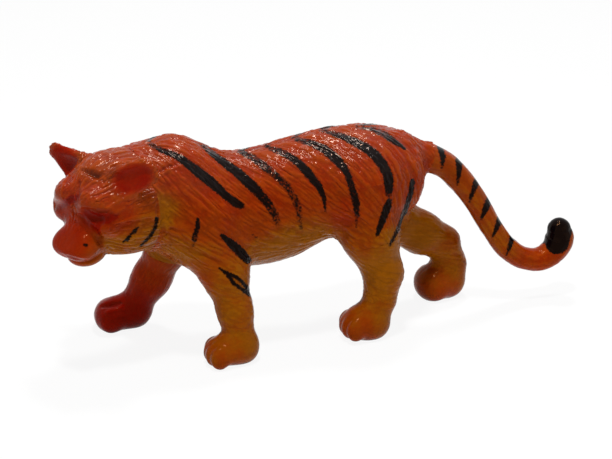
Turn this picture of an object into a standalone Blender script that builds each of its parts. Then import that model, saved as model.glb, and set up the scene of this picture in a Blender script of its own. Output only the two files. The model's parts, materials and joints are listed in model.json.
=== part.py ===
# Toy tiger figure in glossy soft vinyl, in a walking pose.
#
# The trunk is a hollow moulding in two half shells. They close round the
# flanged plugs of the head and the tail, which turn in them, and each leg is
# glued on with a square peg in a socket of its own shell.
#
# All sizes below are in millimetres and degrees. The animal walks towards -X,
# its left side is at -Y, and it stands on z = 0.

import math

import bmesh
import bpy
import numpy as np
from mathutils import Vector

MILLIMETRE = 0.001

# Place of the figure about the middle of its footprint
CENTRE_X = 6.25
CENTRE_Y = 0.53

# Fits and clearances; a plug, peg or pin starts this deep inside its own piece
GAP = 0.3
ROOTED = 1.5
PIN_ROOTED = 2.0
WALL = 2.0
BLEND_LIMB = 4.5
BLEND_NECK = 5.0
BLEND_TAIL = 3.0

# Trunk: stations of a loft as (x, top of the back, belly, half width)
TRUNK_STATIONS = (
    (-38.0, 52.4, 27.0, 9.5),
    (-31.0, 54.2, 22.0, 12.0),
    (-25.0, 51.6, 20.3, 12.4),
    (-17.0, 49.4, 19.7, 12.4),
    (-4.0, 50.9, 20.5, 12.0),
    (8.0, 52.7, 24.9, 11.5),
    (17.0, 52.4, 27.6, 11.2),
    (26.0, 50.0, 29.6, 10.0),
)
CHEST_CAP = 6.0
RUMP_CAP = 6.5

# Neck and head joint
NECK_SEAM = (-42.0, -1.0, 41.5)
NECK_YAW = 15.0
NECK_PITCH = 3.0
NECK_RADIUS = 11.8
NECK_ROOT = 9.0
HEAD_PLUG_RADIUS = 4.6
HEAD_FLANGE_RADIUS = 6.6
HEAD_FLANGE_THICKNESS = 2.4
NECK_COLLAR = 2.6
SEAM_REACH = 3.0

# Head, in its own frame: forward, to its left, up
HEAD_OFFSET = (-8.0, -3.4, 0.3)
HEAD_YAW = 31.0
HEAD_PITCH = 12.0
BLEND_SKULL = 3.5
BLEND_FACE = 2.0
BLEND_MUZZLE = 2.0
BLEND_CREASE = 0.6
BLEND_HEAD = 3.0

# Masses of the head as (centre, half sizes); a mass off the middle is on both sides
SKULL = (
    ((-1.6, 0.0, 1.2), (10.4, 9.6, 11.0)),
    ((-2.6, 6.6, -4.5), (7.6, 5.4, 7.4)),
    ((0.0, 0.0, -7.0), (8.0, 6.6, 5.2)),
    ((2.4, 4.6, 1.2), (5.6, 5.4, 5.4)),
)
CHEEKBONE = ((5.9, 6.6, 0.2), (3.2, 3.4, 3.7))
BROW = ((6.2, 3.7, 4.9), (2.9, 3.9, 2.9))
LIP = ((10.6, 2.8, -5.7), (4.0, 3.4, 3.1))
JAW = ((7.0, 0.0, -6.0), (6.5, 5.8, 3.6))
NOSE = ((13.6, 0.0, -4.8), (1.8, 3.1, 1.6))
CHIN = ((8.4, 0.0, -9.7), (4.6, 4.2, 2.9))

# Bars of the head as (start, end, start radius, end radius)
NOSE_BRIDGE = ((3.5, 0.0, 0.2), (11.2, 0.0, -5.4), 4.3, 3.2)
NOSE_BRIDGE_WIDTH = 1.1
EYE_HOLLOW = ((10.8, 2.4, 4.0), (8.9, 8.2, 1.7), 1.2, 1.0)

# Flat top of the muzzle: a place on it and how steeply it falls
MUZZLE_TOP = (9.2, 0.0, 0.0)
MUZZLE_FALL = 43.0

# Ears as (root, tip, direction that the cup faces, root radius, tip radius); the
# left one lies against the head and the right one stands up
EARS = (
    (1.0, (-0.7, 9.0, 6.4), (-2.9, 12.5, 8.7), (0.75, 0.55, 0.35), 4.9, 4.3),
    (-1.0, (-0.8, 8.2, 7.4), (0.0, 13.2, 11.0), (1.0, 0.0, 0.1), 4.2, 1.9),
)
EAR_FLATNESS = 0.46
EAR_RIM = 1.5
EAR_CUP = 1.9

# Tail: the middle of its section and its radius, from inside the rump to the tip
TAIL_PATH = (
    (26.0, 44.6, 4.4),
    (33.6, 43.1, 3.75),
    (37.9, 40.8, 3.4),
    (42.5, 36.3, 3.3),
    (47.2, 29.9, 3.05),
    (52.1, 21.8, 2.9),
    (57.0, 15.2, 3.0),
    (61.8, 11.9, 3.0),
    (66.5, 11.1, 3.2),
    (70.2, 13.0, 3.5),
    (71.9, 16.8, 3.8),
    (71.6, 19.0, 3.1),
)
TAIL_PLUG_RADIUS = 1.8
TAIL_FLANGE_RADIUS = 2.9
TAIL_FLANGE_THICKNESS = 1.6
TAIL_COLLAR = 2.0

# Legs: joints from the shoulder or hip down as ((x, y, z), radius), then the paw
LEG_SQUASH = 0.88
SEAM_DROP = 2.0
PEG_SIDE = 4.6
PEG_LENGTH = 5.0
PAW_RADII = (5.2, 4.5, 4.0)
HEEL_RADII = (4.0, 3.7, 4.0)
TOE_RADII = (2.4, 1.5, 2.9)
TOE_PITCH = 2.2
LEGS = {
    "foreleg_left": {
        "joints": (((-27.5, -7.6, 34.0), 8.6), ((-23.9, -11.0, 22.5), 6.4),
                   ((-21.5, -12.6, 13.6), 4.6), ((-19.6, -13.4, 6.0), 4.1)),
        "paw": (-22.8, -13.7, 3.7),
        "heel": (-18.6, -13.4, 3.4),
    },
    "foreleg_right": {
        "joints": (((-30.0, 7.5, 34.0), 8.6), ((-32.0, 9.8, 23.0), 6.6),
                   ((-36.6, 12.4, 13.5), 4.7), ((-40.6, 14.0, 6.5), 4.0)),
        "paw": (-44.4, 14.8, 3.7),
        "heel": (-40.8, 14.4, 3.4),
    },
    "hindleg_left": {
        "joints": (((15.0, -5.0, 39.0), 11.6), ((15.4, -8.4, 27.5), 7.4),
                   ((19.2, -9.6, 17.0), 4.9), ((18.7, -9.9, 10.0), 4.0),
                   ((16.4, -9.9, 4.7), 3.9)),
        "paw": (13.0, -9.9, 3.8),
        "heel": (17.0, -9.9, 3.6),
    },
    "hindleg_right": {
        "joints": (((18.5, 5.0, 39.0), 11.6), ((26.8, 7.6, 26.0), 7.6),
                   ((36.0, 7.8, 19.2), 5.9), ((42.6, 8.2, 16.0), 4.5),
                   ((45.2, 8.3, 9.0), 4.2), ((44.6, 8.3, 5.0), 4.0)),
        "paw": (41.4, 8.2, 3.8),
        "heel": (45.0, 8.4, 3.6),
    },
}

# Pins that line up the two shells: (x, height above the belly's inner wall or,
# if negative, below the back's inner wall)
PIN_RADIUS = 1.0
PIN_LENGTH = 2.6
PIN_BOSS_RADIUS = 2.2
PIN_PLACES = ((-22.0, -3.0), (-2.0, -3.0), (16.0, -3.0), (-14.0, 3.0), (4.0, 3.0))

# Fineness of the surfaces: lattice step, and share of the faces that is kept
TRUNK_STEP = 1.7
TRUNK_KEPT = 0.31
CAVITY_STEP = 2.2
CAVITY_KEPT = 0.3
HEAD_STEP = 1.0
HEAD_KEPT = 0.385
LEG_STEP = 1.15
LEG_KEPT = 0.42
TAIL_RINGS = 34
TAIL_SIDES = 12
ROUND_SIDES = 24
PIN_SIDES = 12

# Reach of a tool that goes right across the trunk
ACROSS = 16.0

# Space that is searched for each form, and how finely
SEARCH_BOX = ((-100.0, 100.0), (-45.0, 45.0), (-15.0, 95.0))
SEARCH_STEP = 4.0
LATTICE_SHIFTS = np.mod(np.outer(range(30), (0.17, 0.37, 0.61)), 1.0)

COLOURS = {
    "torso_left_shell": (0.62, 0.14, 0.015),
    "torso_right_shell": (0.62, 0.14, 0.015),
    "head": (0.60, 0.09, 0.012),
    "tail": (0.60, 0.13, 0.015),
    "foreleg_left": (0.58, 0.15, 0.012),
    "foreleg_right": (0.50, 0.03, 0.006),
    "hindleg_left": (0.58, 0.17, 0.014),
    "hindleg_right": (0.56, 0.15, 0.012),
}
VINYL_ROUGHNESS = 0.28


# Distance forms: each takes an array of points and gives about the distance to
# a surface, negative inside

def smooth_min(a, b, blend):
    """Union of two forms with a fillet about `blend` wide."""
    h = np.maximum(blend - np.abs(a - b), 0.0) / blend
    return np.minimum(a, b) - h * h * blend / 4.0


def smooth_max(a, b, blend):
    """Intersection of two forms with a rounded edge."""
    return -smooth_min(-a, -b, blend)


def union(forms, blend):
    """Union of several forms, each faired into the next."""
    total = forms[0]
    for form in forms[1:]:
        total = smooth_min(total, form, blend)
    return total


def egg(points, centre, radii, turn=None):
    """An ellipsoid, turned by a 3 by 3 matrix whose columns are its axes."""
    q = points - np.array(centre)
    if turn is not None:
        q = q @ turn
    first = q / np.array(radii)
    second = first / np.array(radii)
    k1 = np.sqrt((first * first).sum(1))
    k2 = np.sqrt((second * second).sum(1))
    return k1 * (k1 - 1.0) / np.maximum(k2, 1e-9)


def limb(points, start, end, start_radius, end_radius, squash=1.0):
    """A round bar that tapers from start to end, squashed sideways."""
    scale = np.array((1.0, squash, 1.0))
    a = np.array(start) / scale
    along = np.array(end) / scale - a
    q = points / scale - a
    t = np.clip((q @ along) / (along @ along), 0.0, 1.0)
    radius = start_radius + (end_radius - start_radius) * t
    return np.linalg.norm(q - t[:, None] * along, axis=1) - radius


def drum(points, centre, axis, radius, back, front):
    """A cylinder about an axis, from `back` to `front` along it."""
    q = points - np.array(centre)
    s = q @ np.array(axis)
    radial = np.sqrt(np.maximum((q * q).sum(1) - s * s, 0.0))
    return np.maximum(np.maximum(radial - radius, s - front), back - s)


def through_stations(x, xs, values):
    """A smooth curve through stations: cubic pieces with shared slopes."""
    slopes = np.gradient(values, xs)
    i = np.clip(np.searchsorted(xs, x) - 1, 0, len(xs) - 2)
    span = xs[i + 1] - xs[i]
    t = (x - xs[i]) / span
    start = (1 + 2 * t) * (1 - t) ** 2 * values[i] + t * (1 - t) ** 2 * span * slopes[i]
    end = t * t * (3 - 2 * t) * values[i + 1] + t * t * (t - 1) * span * slopes[i + 1]
    return start + end


# Frames of the joints

def unit(vector):
    """The vector at length 1."""
    v = np.array(vector, float)
    return v / np.linalg.norm(v)


def heading(yaw, pitch):
    """Direction that looks forwards, turned to the animal's left and lowered."""
    y, p = math.radians(yaw), math.radians(pitch)
    return np.array((-math.cos(y) * math.cos(p), -math.sin(y) * math.cos(p), -math.sin(p)))


NECK_AXIS = heading(NECK_YAW, NECK_PITCH)
HEAD_CENTRE = tuple(np.array(NECK_SEAM) + np.array(HEAD_OFFSET))
TAIL_SEAM = (TAIL_PATH[1][0], 0.0, TAIL_PATH[1][1])
TAIL_AXIS = unit((TAIL_PATH[2][0] - TAIL_PATH[0][0], 0.0, TAIL_PATH[2][1] - TAIL_PATH[0][1]))


def leg_seam(leg):
    """Middle of a leg's glued seam, on the mitre of its second joint, and the
    direction down the leg there."""
    above, here, below = (np.array(place) for place, _ in leg["joints"][:3])
    down = unit(unit(here - above) + unit(below - here))
    return here + SEAM_DROP * down, down


def head_axes():
    """Columns: the head's forward, left and up directions."""
    forward = heading(HEAD_YAW, HEAD_PITCH)
    left = np.array((math.sin(math.radians(HEAD_YAW)), -math.cos(math.radians(HEAD_YAW)), 0.0))
    return np.stack((forward, left, np.cross(forward, left)), 1)


def in_head(points):
    """Points in the head's frame."""
    return (points - np.array(HEAD_CENTRE)) @ head_axes()


def ahead_of_neck(points):
    """How far points lie in front of the neck's seam."""
    return (points - np.array(NECK_SEAM)) @ NECK_AXIS


# The animal's forms

def trunk_form(points):
    """Loft of oval sections through the stations, with rounded ends."""
    xs, tops, bellies, halves = np.array(TRUNK_STATIONS).T
    x = np.clip(points[:, 0], xs[0], xs[-1])
    top = through_stations(x, xs, tops)
    belly = through_stations(x, xs, bellies)
    past = points[:, 0] - x
    cap = np.where(past < 0, CHEST_CAP, RUMP_CAP)
    radii = np.stack((cap, through_stations(x, xs, halves), (top - belly) / 2), 1)
    q = np.stack((past, points[:, 1], points[:, 2] - (top + belly) / 2), 1) / radii
    k1 = np.sqrt((q * q).sum(1))
    k2 = np.sqrt(((q / radii) ** 2).sum(1))
    return k1 * (k1 - 1.0) / np.maximum(k2, 1e-9)


def neck_form(points):
    """Round neck that runs from inside the trunk into the head."""
    root = np.array(NECK_SEAM) - NECK_ROOT * NECK_AXIS
    nape = np.array(NECK_SEAM) + 0.4 * NECK_ROOT * NECK_AXIS
    return limb(points, root, nape, NECK_RADIUS, NECK_RADIUS)


def leg_bars(points, joints):
    """Tapered bars from joint to joint."""
    bars = [limb(points, a, b, ra, rb, LEG_SQUASH) for (a, ra), (b, rb) in zip(joints, joints[1:])]
    return union(bars, 3.0)


def leg_form(points, leg):
    """A whole leg: its bars, a heel, a paw and four toes."""
    form = leg_bars(points, leg["joints"])
    x, y, z = leg["paw"]
    foot = smooth_min(egg(points, leg["heel"], HEEL_RADII), egg(points, (x, y, z), PAW_RADII), 2.0)
    form = smooth_min(form, foot, 2.2)
    for toe in (-1.5, -0.5, 0.5, 1.5):
        reach = 3.6 - 0.45 * abs(toe) ** 1.6
        centre = (x - reach, y + TOE_PITCH * toe, z - 0.7)
        form = smooth_min(form, egg(points, centre, TOE_RADII), 0.8)
    return form


def tail_root_form(points):
    """First stretch of the tail, which the rump runs into."""
    (xa, za, ra), (xb, zb, rb), (xc, zc, rc) = TAIL_PATH[:3]
    inner = limb(points, (xa, 0.0, za), (xb, 0.0, zb), ra, rb)
    return smooth_min(inner, limb(points, (xb, 0.0, zb), (xc, 0.0, zc), rb, rc), 1.0)


def torso_form(points):
    """Trunk with the neck, the back of the skull, the shoulders, the haunches and
    the tail's root."""
    form = smooth_min(trunk_form(points), neck_form(points), BLEND_NECK)
    for leg in LEGS.values():
        form = smooth_min(form, leg_bars(points, leg["joints"][:3]), BLEND_LIMB)
    form = smooth_min(form, tail_root_form(points), BLEND_TAIL)
    back_of_skull = np.maximum(skull_form(points), ahead_of_neck(points) - SEAM_REACH)
    return smooth_min(form, back_of_skull, BLEND_HEAD)


def lower_leg_form(points, leg):
    """One leg with the fillet that it shares with the trunk."""
    own = leg_form(points, leg)
    return np.maximum(smooth_min(own, trunk_form(points), BLEND_LIMB), own - BLEND_LIMB / 2)


def ear_form(q, root, tip, facing, root_radius, tip_radius):
    """An ear: a flattened bar with a cup in its face."""
    along = unit(np.array(tip) - np.array(root))
    face = np.array(facing) - (np.array(facing) @ along) * along
    face = unit(face)
    length = np.linalg.norm(np.array(tip) - np.array(root))
    e = (q - np.array(root)) @ np.stack((np.cross(along, face), face, along), 1)
    lobe = limb(e, (0.0, 0.0, 0.0), (0.0, 0.0, length), root_radius, tip_radius, EAR_FLATNESS)
    cup = limb(e, (0.0, EAR_CUP, EAR_RIM / 2), (0.0, EAR_CUP, length),
               root_radius - EAR_RIM, tip_radius - EAR_RIM, EAR_FLATNESS)
    return smooth_max(lobe, -cup, 2 * BLEND_CREASE)


def skull_form(points):
    """Skull, cheeks, brows, eye hollows, muzzle and chin, in the head's own frame."""
    q = in_head(points)
    m = q.copy()
    m[:, 1] = np.abs(m[:, 1])
    form = union([egg(m, *mass) for mass in SKULL], BLEND_SKULL)
    form = union([form, egg(m, *CHEEKBONE), egg(m, *BROW)], BLEND_FACE)
    bridge = limb(q, *NOSE_BRIDGE, NOSE_BRIDGE_WIDTH)
    muzzle = union([bridge, egg(m, *LIP), egg(q, *JAW)], BLEND_FACE)
    muzzle = smooth_min(muzzle, egg(q, *NOSE), BLEND_CREASE)
    fall = math.radians(MUZZLE_FALL)
    top = (q - np.array(MUZZLE_TOP)) @ np.array((math.sin(fall), 0.0, math.cos(fall)))
    form = smooth_min(form, smooth_max(muzzle, top, 1.0), BLEND_MUZZLE)
    form = smooth_min(form, egg(q, *CHIN), BLEND_CREASE)
    return smooth_max(form, -limb(m, *EYE_HOLLOW), 2 * BLEND_CREASE)


def head_form(points):
    """The head with its ears, faired into the neck and ended a little behind the seam."""
    body = smooth_min(trunk_form(points), neck_form(points), BLEND_NECK)
    form = smooth_min(skull_form(points), body, BLEND_HEAD)
    for side, *ear in EARS:
        form = smooth_min(form, ear_form(in_head(points) * np.array((1.0, side, 1.0)), *ear), BLEND_FACE)
    return np.maximum(form, -ahead_of_neck(points) - SEAM_REACH)


def cavity_form(points):
    """Hollow of the trunk: one wall inside it, clear of every plug and peg."""
    behind = (points - np.array(TAIL_SEAM)) @ TAIL_AXIS
    neck_deep = NECK_COLLAR + HEAD_FLANGE_THICKNESS + 3 * GAP + WALL
    tail_deep = TAIL_COLLAR + TAIL_FLANGE_THICKNESS + 3 * GAP + WALL
    ends = np.maximum(ahead_of_neck(points) + neck_deep, behind + tail_deep)
    form = smooth_max(trunk_form(points) + WALL, ends, 2.0)
    for leg in LEGS.values():
        seam, down = leg_seam(leg)
        reach = PEG_LENGTH + GAP + WALL
        boss = drum(points, seam, down, 0.7 * PEG_SIDE + GAP + WALL, -reach, WALL)
        form = smooth_max(form, -boss, 1.0)
    return form


# Surfaces of the forms

def form_box(form):
    """Corners of a box round a form, found on a sparse lattice."""
    axes = [np.arange(a, b, SEARCH_STEP) for a, b in SEARCH_BOX]
    grid = np.stack(np.meshgrid(*axes, indexing="ij"), -1).reshape(-1, 3)
    inside = grid[form(grid) < SEARCH_STEP / 2]
    return inside.min(0) - 1.5 * SEARCH_STEP, inside.max(0) + 1.5 * SEARCH_STEP


def lattice_values(form, low, step, counts):
    """Values of a form on a lattice, worked out finely near its surface only."""
    axes = [low[i] + 4 * step * np.arange((counts[i] - 1) // 4 + 1) for i in range(3)]
    grid = np.stack(np.meshgrid(*axes, indexing="ij"), -1)
    coarse = form(grid.reshape(-1, 3)).reshape(grid.shape[:3])
    near = np.abs(coarse) < 7 * step
    wide = np.zeros(counts, bool)
    for i, j, k in np.argwhere(near):
        first = np.maximum(4 * np.array((i, j, k)) - 4, 0)
        last = first + 9
        wide[first[0]:last[0], first[1]:last[1], first[2]:last[2]] = True
    values = coarse
    for axis in range(3):
        values = np.repeat(values, 4, axis=axis)
    values = values[:counts[0], :counts[1], :counts[2]].copy()
    values[wide] = form(low + step * np.argwhere(wide))
    return values


def crossing_points(values, cells):
    """Mean of the crossings on the twelve edges of each cell, in lattice steps."""
    total = np.zeros((len(cells), 3))
    hits = np.zeros((len(cells), 1))
    for axis in range(3):
        for u, v in ((0, 0), (0, 1), (1, 0), (1, 1)):
            first = cells.copy()
            first[:, (axis + 1) % 3] += u
            first[:, (axis + 2) % 3] += v
            second = first.copy()
            second[:, axis] += 1
            a, b = values[tuple(first.T)], values[tuple(second.T)]
            cut = (a < 0) != (b < 0)
            point = first.astype(float)
            point[cut, axis] += a[cut] / (a[cut] - b[cut])
            total[cut] += point[cut]
            hits[cut] += 1
    return total / hits


def lattice_quads(inside, number):
    """A quad round each lattice edge that the surface crosses, facing outwards."""
    quads = []
    for axis in range(3):
        before = inside.take(range(inside.shape[axis] - 1), axis)
        after = inside.take(range(1, inside.shape[axis]), axis)
        edges = np.argwhere(before != after)
        ring = []
        for du, dv in ((0, 0), (-1, 0), (-1, -1), (0, -1)):
            cell = edges.copy()
            cell[:, (axis + 1) % 3] += du
            cell[:, (axis + 2) % 3] += dv
            ring.append(number[tuple(cell.T)])
        ring = np.stack(ring, 1)
        entering = ~before[tuple(edges.T)]
        ring[entering] = ring[entering][:, ::-1]
        quads.append(ring)
    return np.concatenate(quads)


def each_edge_has_two_faces(quads):
    """Whether a quad mesh is closed and no two of its sheets share an edge."""
    edges = np.sort(np.concatenate([quads[:, (i, (i + 1) % 4)] for i in range(4)]), axis=1)
    return bool((np.unique(edges, axis=0, return_counts=True)[1] == 2).all())


def surface_net(form, step):
    """Closed quad mesh of a form: a vertex in each lattice cell that the surface
    crosses, moved onto the surface. The lattice shifts a little where two sheets
    would share a cell's edge."""
    low, high = form_box(form)
    counts = 4 * np.ceil((high - low) / step / 4).astype(int) + 1
    for shift in LATTICE_SHIFTS:
        start = low + shift * step
        values = lattice_values(form, start, step, counts)
        inside = values < 0
        a, b, c = counts - 1
        corners = sum(inside[i:a + i, j:b + j, k:c + k].astype(int)
                      for i in (0, 1) for j in (0, 1) for k in (0, 1))
        crossed = (corners > 0) & (corners < 8)
        number = np.where(crossed, np.cumsum(crossed).reshape(crossed.shape) - 1, -1)
        quads = lattice_quads(inside, number)
        if each_edge_has_two_faces(quads):
            break
    points = start + step * crossing_points(values, np.argwhere(crossed))
    return settle(form, points, step), quads


def settle(form, points, step):
    """Move points onto a form's surface along its slope, by half a step at most."""
    for _ in range(2):
        slope = np.zeros_like(points)
        for axis in range(3):
            shift = np.zeros(3)
            shift[axis] = 0.05
            slope[:, axis] = (form(points + shift) - form(points - shift)) / 0.1
        move = (form(points) / np.maximum((slope * slope).sum(1), 0.05))[:, None] * slope
        length = np.linalg.norm(move, axis=1, keepdims=True)
        points = points - move * np.minimum(1.0, 0.5 * step / np.maximum(length, 1e-9))
    return points


# Blender objects

def add_object(name, points, faces, origin=(0.0, 0.0, 0.0)):
    """Object from points in millimetres, with its origin at a chosen place."""
    place = np.array(origin, float)
    mesh = bpy.data.meshes.new(name)
    mesh.from_pydata(((np.asarray(points) - place) * MILLIMETRE).tolist(), [],
                     [tuple(int(i) for i in face) for face in faces])
    obj = bpy.data.objects.new(name, mesh)
    obj.location = (place - np.array((CENTRE_X, CENTRE_Y, 0.0))) * MILLIMETRE
    bpy.context.scene.collection.objects.link(obj)
    return obj


def net_object(name, form, step, kept, origin=(0.0, 0.0, 0.0)):
    """Object whose surface is a form's, thinned to a share of its faces."""
    points, quads = surface_net(form, step)
    obj = add_object(name, points, quads, origin)
    thinner = obj.modifiers.new("thinner", "DECIMATE")
    thinner.ratio = kept
    bake(obj)
    return obj


def bake(obj):
    """Put an object's modifiers into its mesh."""
    bpy.context.view_layer.update()
    evaluated = obj.evaluated_get(bpy.context.evaluated_depsgraph_get())
    mesh = bpy.data.meshes.new_from_object(evaluated)
    obj.modifiers.clear()
    obj.data = mesh


def circle(sides):
    """Outline of a round section at radius 1."""
    angles = 2 * math.pi * np.arange(sides) / sides
    return np.stack((np.cos(angles), np.sin(angles)), 1)


def chamfered_square():
    """Outline of a square key, half a side wide, with its corners taken off."""
    near, far = 0.72, 1.0
    return np.array(((far, near), (near, far), (-near, far), (-far, near),
                     (-far, -near), (-near, -far), (near, -far), (far, -near)))


def tube_faces(index):
    """Faces of a closed tube whose rings of points have these numbers."""
    around = np.roll(index, -1, axis=1)
    sides = np.stack((index[:-1], around[:-1], around[1:], index[1:]), 2).reshape(-1, 4)
    return [tuple(face) for face in sides] + [tuple(index[0][::-1]), tuple(index[-1])]


def post(name, seat, axis, outline, sections):
    """Solid with one outline at several (distance along the axis, size) sections."""
    turn = np.array(Vector(axis).to_track_quat("Z", "Y").to_matrix())
    sides = len(outline)
    points = []
    for along, size in sections:
        ring = np.column_stack((outline * size, np.full(sides, along)))
        points.append(ring @ turn.T + np.array(seat))
    index = np.arange(len(sections) * sides).reshape(len(sections), sides)
    return add_object(name, np.concatenate(points), tube_faces(index))


def block(name, low, high):
    """Box between two corners."""
    (xa, ya, za), (xb, yb, zb) = low, high
    points = [(x, y, z) for x in (xa, xb) for y in (ya, yb) for z in (za, zb)]
    faces = [(0, 1, 3, 2), (4, 6, 7, 5), (0, 4, 5, 1), (2, 3, 7, 6), (0, 2, 6, 4), (1, 5, 7, 3)]
    return add_object(name, points, faces)


def combine(target, tools, operation):
    """Cut, join or trim a solid with tools, which are used up."""
    for tool in tools:
        modifier = target.modifiers.new(tool.name, "BOOLEAN")
        modifier.operation = operation
        modifier.solver = "EXACT"
        modifier.object = tool
    bake(target)
    for tool in tools:
        bpy.data.objects.remove(tool)
    return target


def copy_of(source, name):
    """Separate copy of an object with its own mesh."""
    twin = source.copy()
    twin.data = source.data.copy()
    twin.name = name
    bpy.context.scene.collection.objects.link(twin)
    return twin


def keep_side(obj, point, normal):
    """Cut a solid with a plane, keep the side that the normal points to and close it."""
    mesh = bmesh.new()
    mesh.from_mesh(obj.data)
    here = to_world(point) - obj.location
    result = bmesh.ops.bisect_plane(
        mesh, geom=mesh.verts[:] + mesh.edges[:] + mesh.faces[:], dist=1e-7,
        plane_co=here, plane_no=Vector(normal), clear_inner=True)
    rim = [item for item in result["geom_cut"] if isinstance(item, bmesh.types.BMEdge)]
    bmesh.ops.contextual_create(mesh, geom=rim)
    mesh.to_mesh(obj.data)
    mesh.free()


def to_world(point):
    """Point in millimetres as a vector in metres, in the part's own frame."""
    return Vector((np.array(point) - np.array((CENTRE_X, CENTRE_Y, 0.0))) * MILLIMETRE)


def finish(obj):
    """Shade a piece smooth but for its cut edges and give it its vinyl."""
    obj.data.shade_smooth()
    obj.data.set_sharp_from_angle(angle=math.radians(40))
    material = bpy.data.materials.new(obj.name + "_vinyl")
    material.use_nodes = True
    shader = material.node_tree.nodes["Principled BSDF"]
    shader.inputs["Base Color"].default_value = (*COLOURS[obj.name], 1.0)
    shader.inputs["Roughness"].default_value = VINYL_ROUGHNESS
    obj.data.materials.clear()
    obj.data.materials.append(material)


# Plugs and their bores share these sections

def plug_sections(radius, flange_radius, collar, flange_thickness, ease):
    """Sections of a flanged plug, measured from the seam into the torso."""
    start = collar + GAP - ease
    end = collar + GAP + flange_thickness + ease
    return [(ROOTED, radius + ease), (-start, radius + ease), (-start, flange_radius + ease),
            (-end, flange_radius + ease)]


def head_plug(name, ease):
    """Turned plug of the head, or its bore where ease is a clearance."""
    sections = plug_sections(HEAD_PLUG_RADIUS, HEAD_FLANGE_RADIUS, NECK_COLLAR,
                             HEAD_FLANGE_THICKNESS, ease)
    return post(name, NECK_SEAM, NECK_AXIS, circle(ROUND_SIDES), sections[::-1])


def tail_plug(name, ease):
    """Turned plug of the tail, or its bore where ease is a clearance."""
    sections = plug_sections(TAIL_PLUG_RADIUS, TAIL_FLANGE_RADIUS, TAIL_COLLAR,
                             TAIL_FLANGE_THICKNESS, ease)
    return post(name, TAIL_SEAM, TAIL_AXIS, circle(ROUND_SIDES), sections[::-1])


def leg_peg(name, leg, ease):
    """Square peg of a leg, or its socket where ease is a clearance."""
    seam, down = leg_seam(leg)
    size = PEG_SIDE / 2 + ease
    return post(name, seam, down, chamfered_square(), [(-PEG_LENGTH - ease, size), (ROOTED, size)])


def pin_post(name, place, radius, start, end):
    """Round post across the mid-plane, between two distances to the right."""
    x, z = place
    return post(name, (x, 0.0, z), (0.0, 1.0, 0.0), circle(PIN_SIDES), [(start, radius), (end, radius)])


# Pieces

def build_torso():
    """The two half shells of the trunk."""
    body = net_object("torso", torso_form, TRUNK_STEP, TRUNK_KEPT)
    cavity = net_object("cavity", cavity_form, CAVITY_STEP, CAVITY_KEPT)
    xs, tops, bellies, _ = np.array(TRUNK_STATIONS).T
    pins = []
    for x, height in PIN_PLACES:
        wall = bellies + WALL if height > 0 else tops - WALL
        pins.append((x, float(through_stations(np.array([x]), xs, wall)[0]) + height))
    bosses = [pin_post("boss", place, PIN_BOSS_RADIUS, -ACROSS, ACROSS) for place in pins]
    combine(cavity, bosses, "DIFFERENCE")
    reach = NECK_RADIUS + 5.0
    tools = [
        post("neck_end", NECK_SEAM, NECK_AXIS, circle(ROUND_SIDES), [(-GAP / 2, reach), (20.0, reach)]),
        post("tail_end", TAIL_SEAM, TAIL_AXIS, circle(ROUND_SIDES),
             [(-GAP / 2, TAIL_PATH[1][2] + 3.0), (16.0, TAIL_PATH[1][2] + 6.0)]),
    ]
    for leg in LEGS.values():
        seam, down = leg_seam(leg)
        wide = leg["joints"][1][1] + 3.5
        sections = [(-GAP / 2, wide), (45.0, wide + 9.0)]
        tools.append(post("leg_end", seam, down, circle(ROUND_SIDES), sections))
    tools += [cavity, head_plug("neck_bore", GAP), tail_plug("tail_bore", GAP)]
    tools += [leg_peg("socket", leg, GAP) for leg in LEGS.values()]
    combine(body, tools, "DIFFERENCE")
    right = copy_of(body, "torso_right_shell")
    body.name = "torso_left_shell"
    left_half = block("left_half", (-90.0, -60.0, -20.0), (90.0, -GAP / 2, 90.0))
    right_half = block("right_half", (-90.0, GAP / 2, -20.0), (90.0, 60.0, 90.0))
    combine(body, [left_half], "INTERSECT")
    combine(right, [right_half], "INTERSECT")
    shafts = [pin_post("pin", place, PIN_RADIUS, -PIN_ROOTED, PIN_LENGTH) for place in pins]
    holes = [pin_post("hole", place, PIN_RADIUS + GAP, -PIN_ROOTED, PIN_LENGTH + GAP) for place in pins]
    combine(body, shafts, "UNION")
    combine(right, holes, "DIFFERENCE")
    return [body, right]


def build_head():
    """The head with its plug; its origin is on the axis that it turns about."""
    head = net_object("head", head_form, HEAD_STEP, HEAD_KEPT, NECK_SEAM)
    keep_side(head, np.array(NECK_SEAM) + GAP / 2 * NECK_AXIS, NECK_AXIS)
    return combine(head, [head_plug("head_plug", 0.0)], "UNION")


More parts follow.
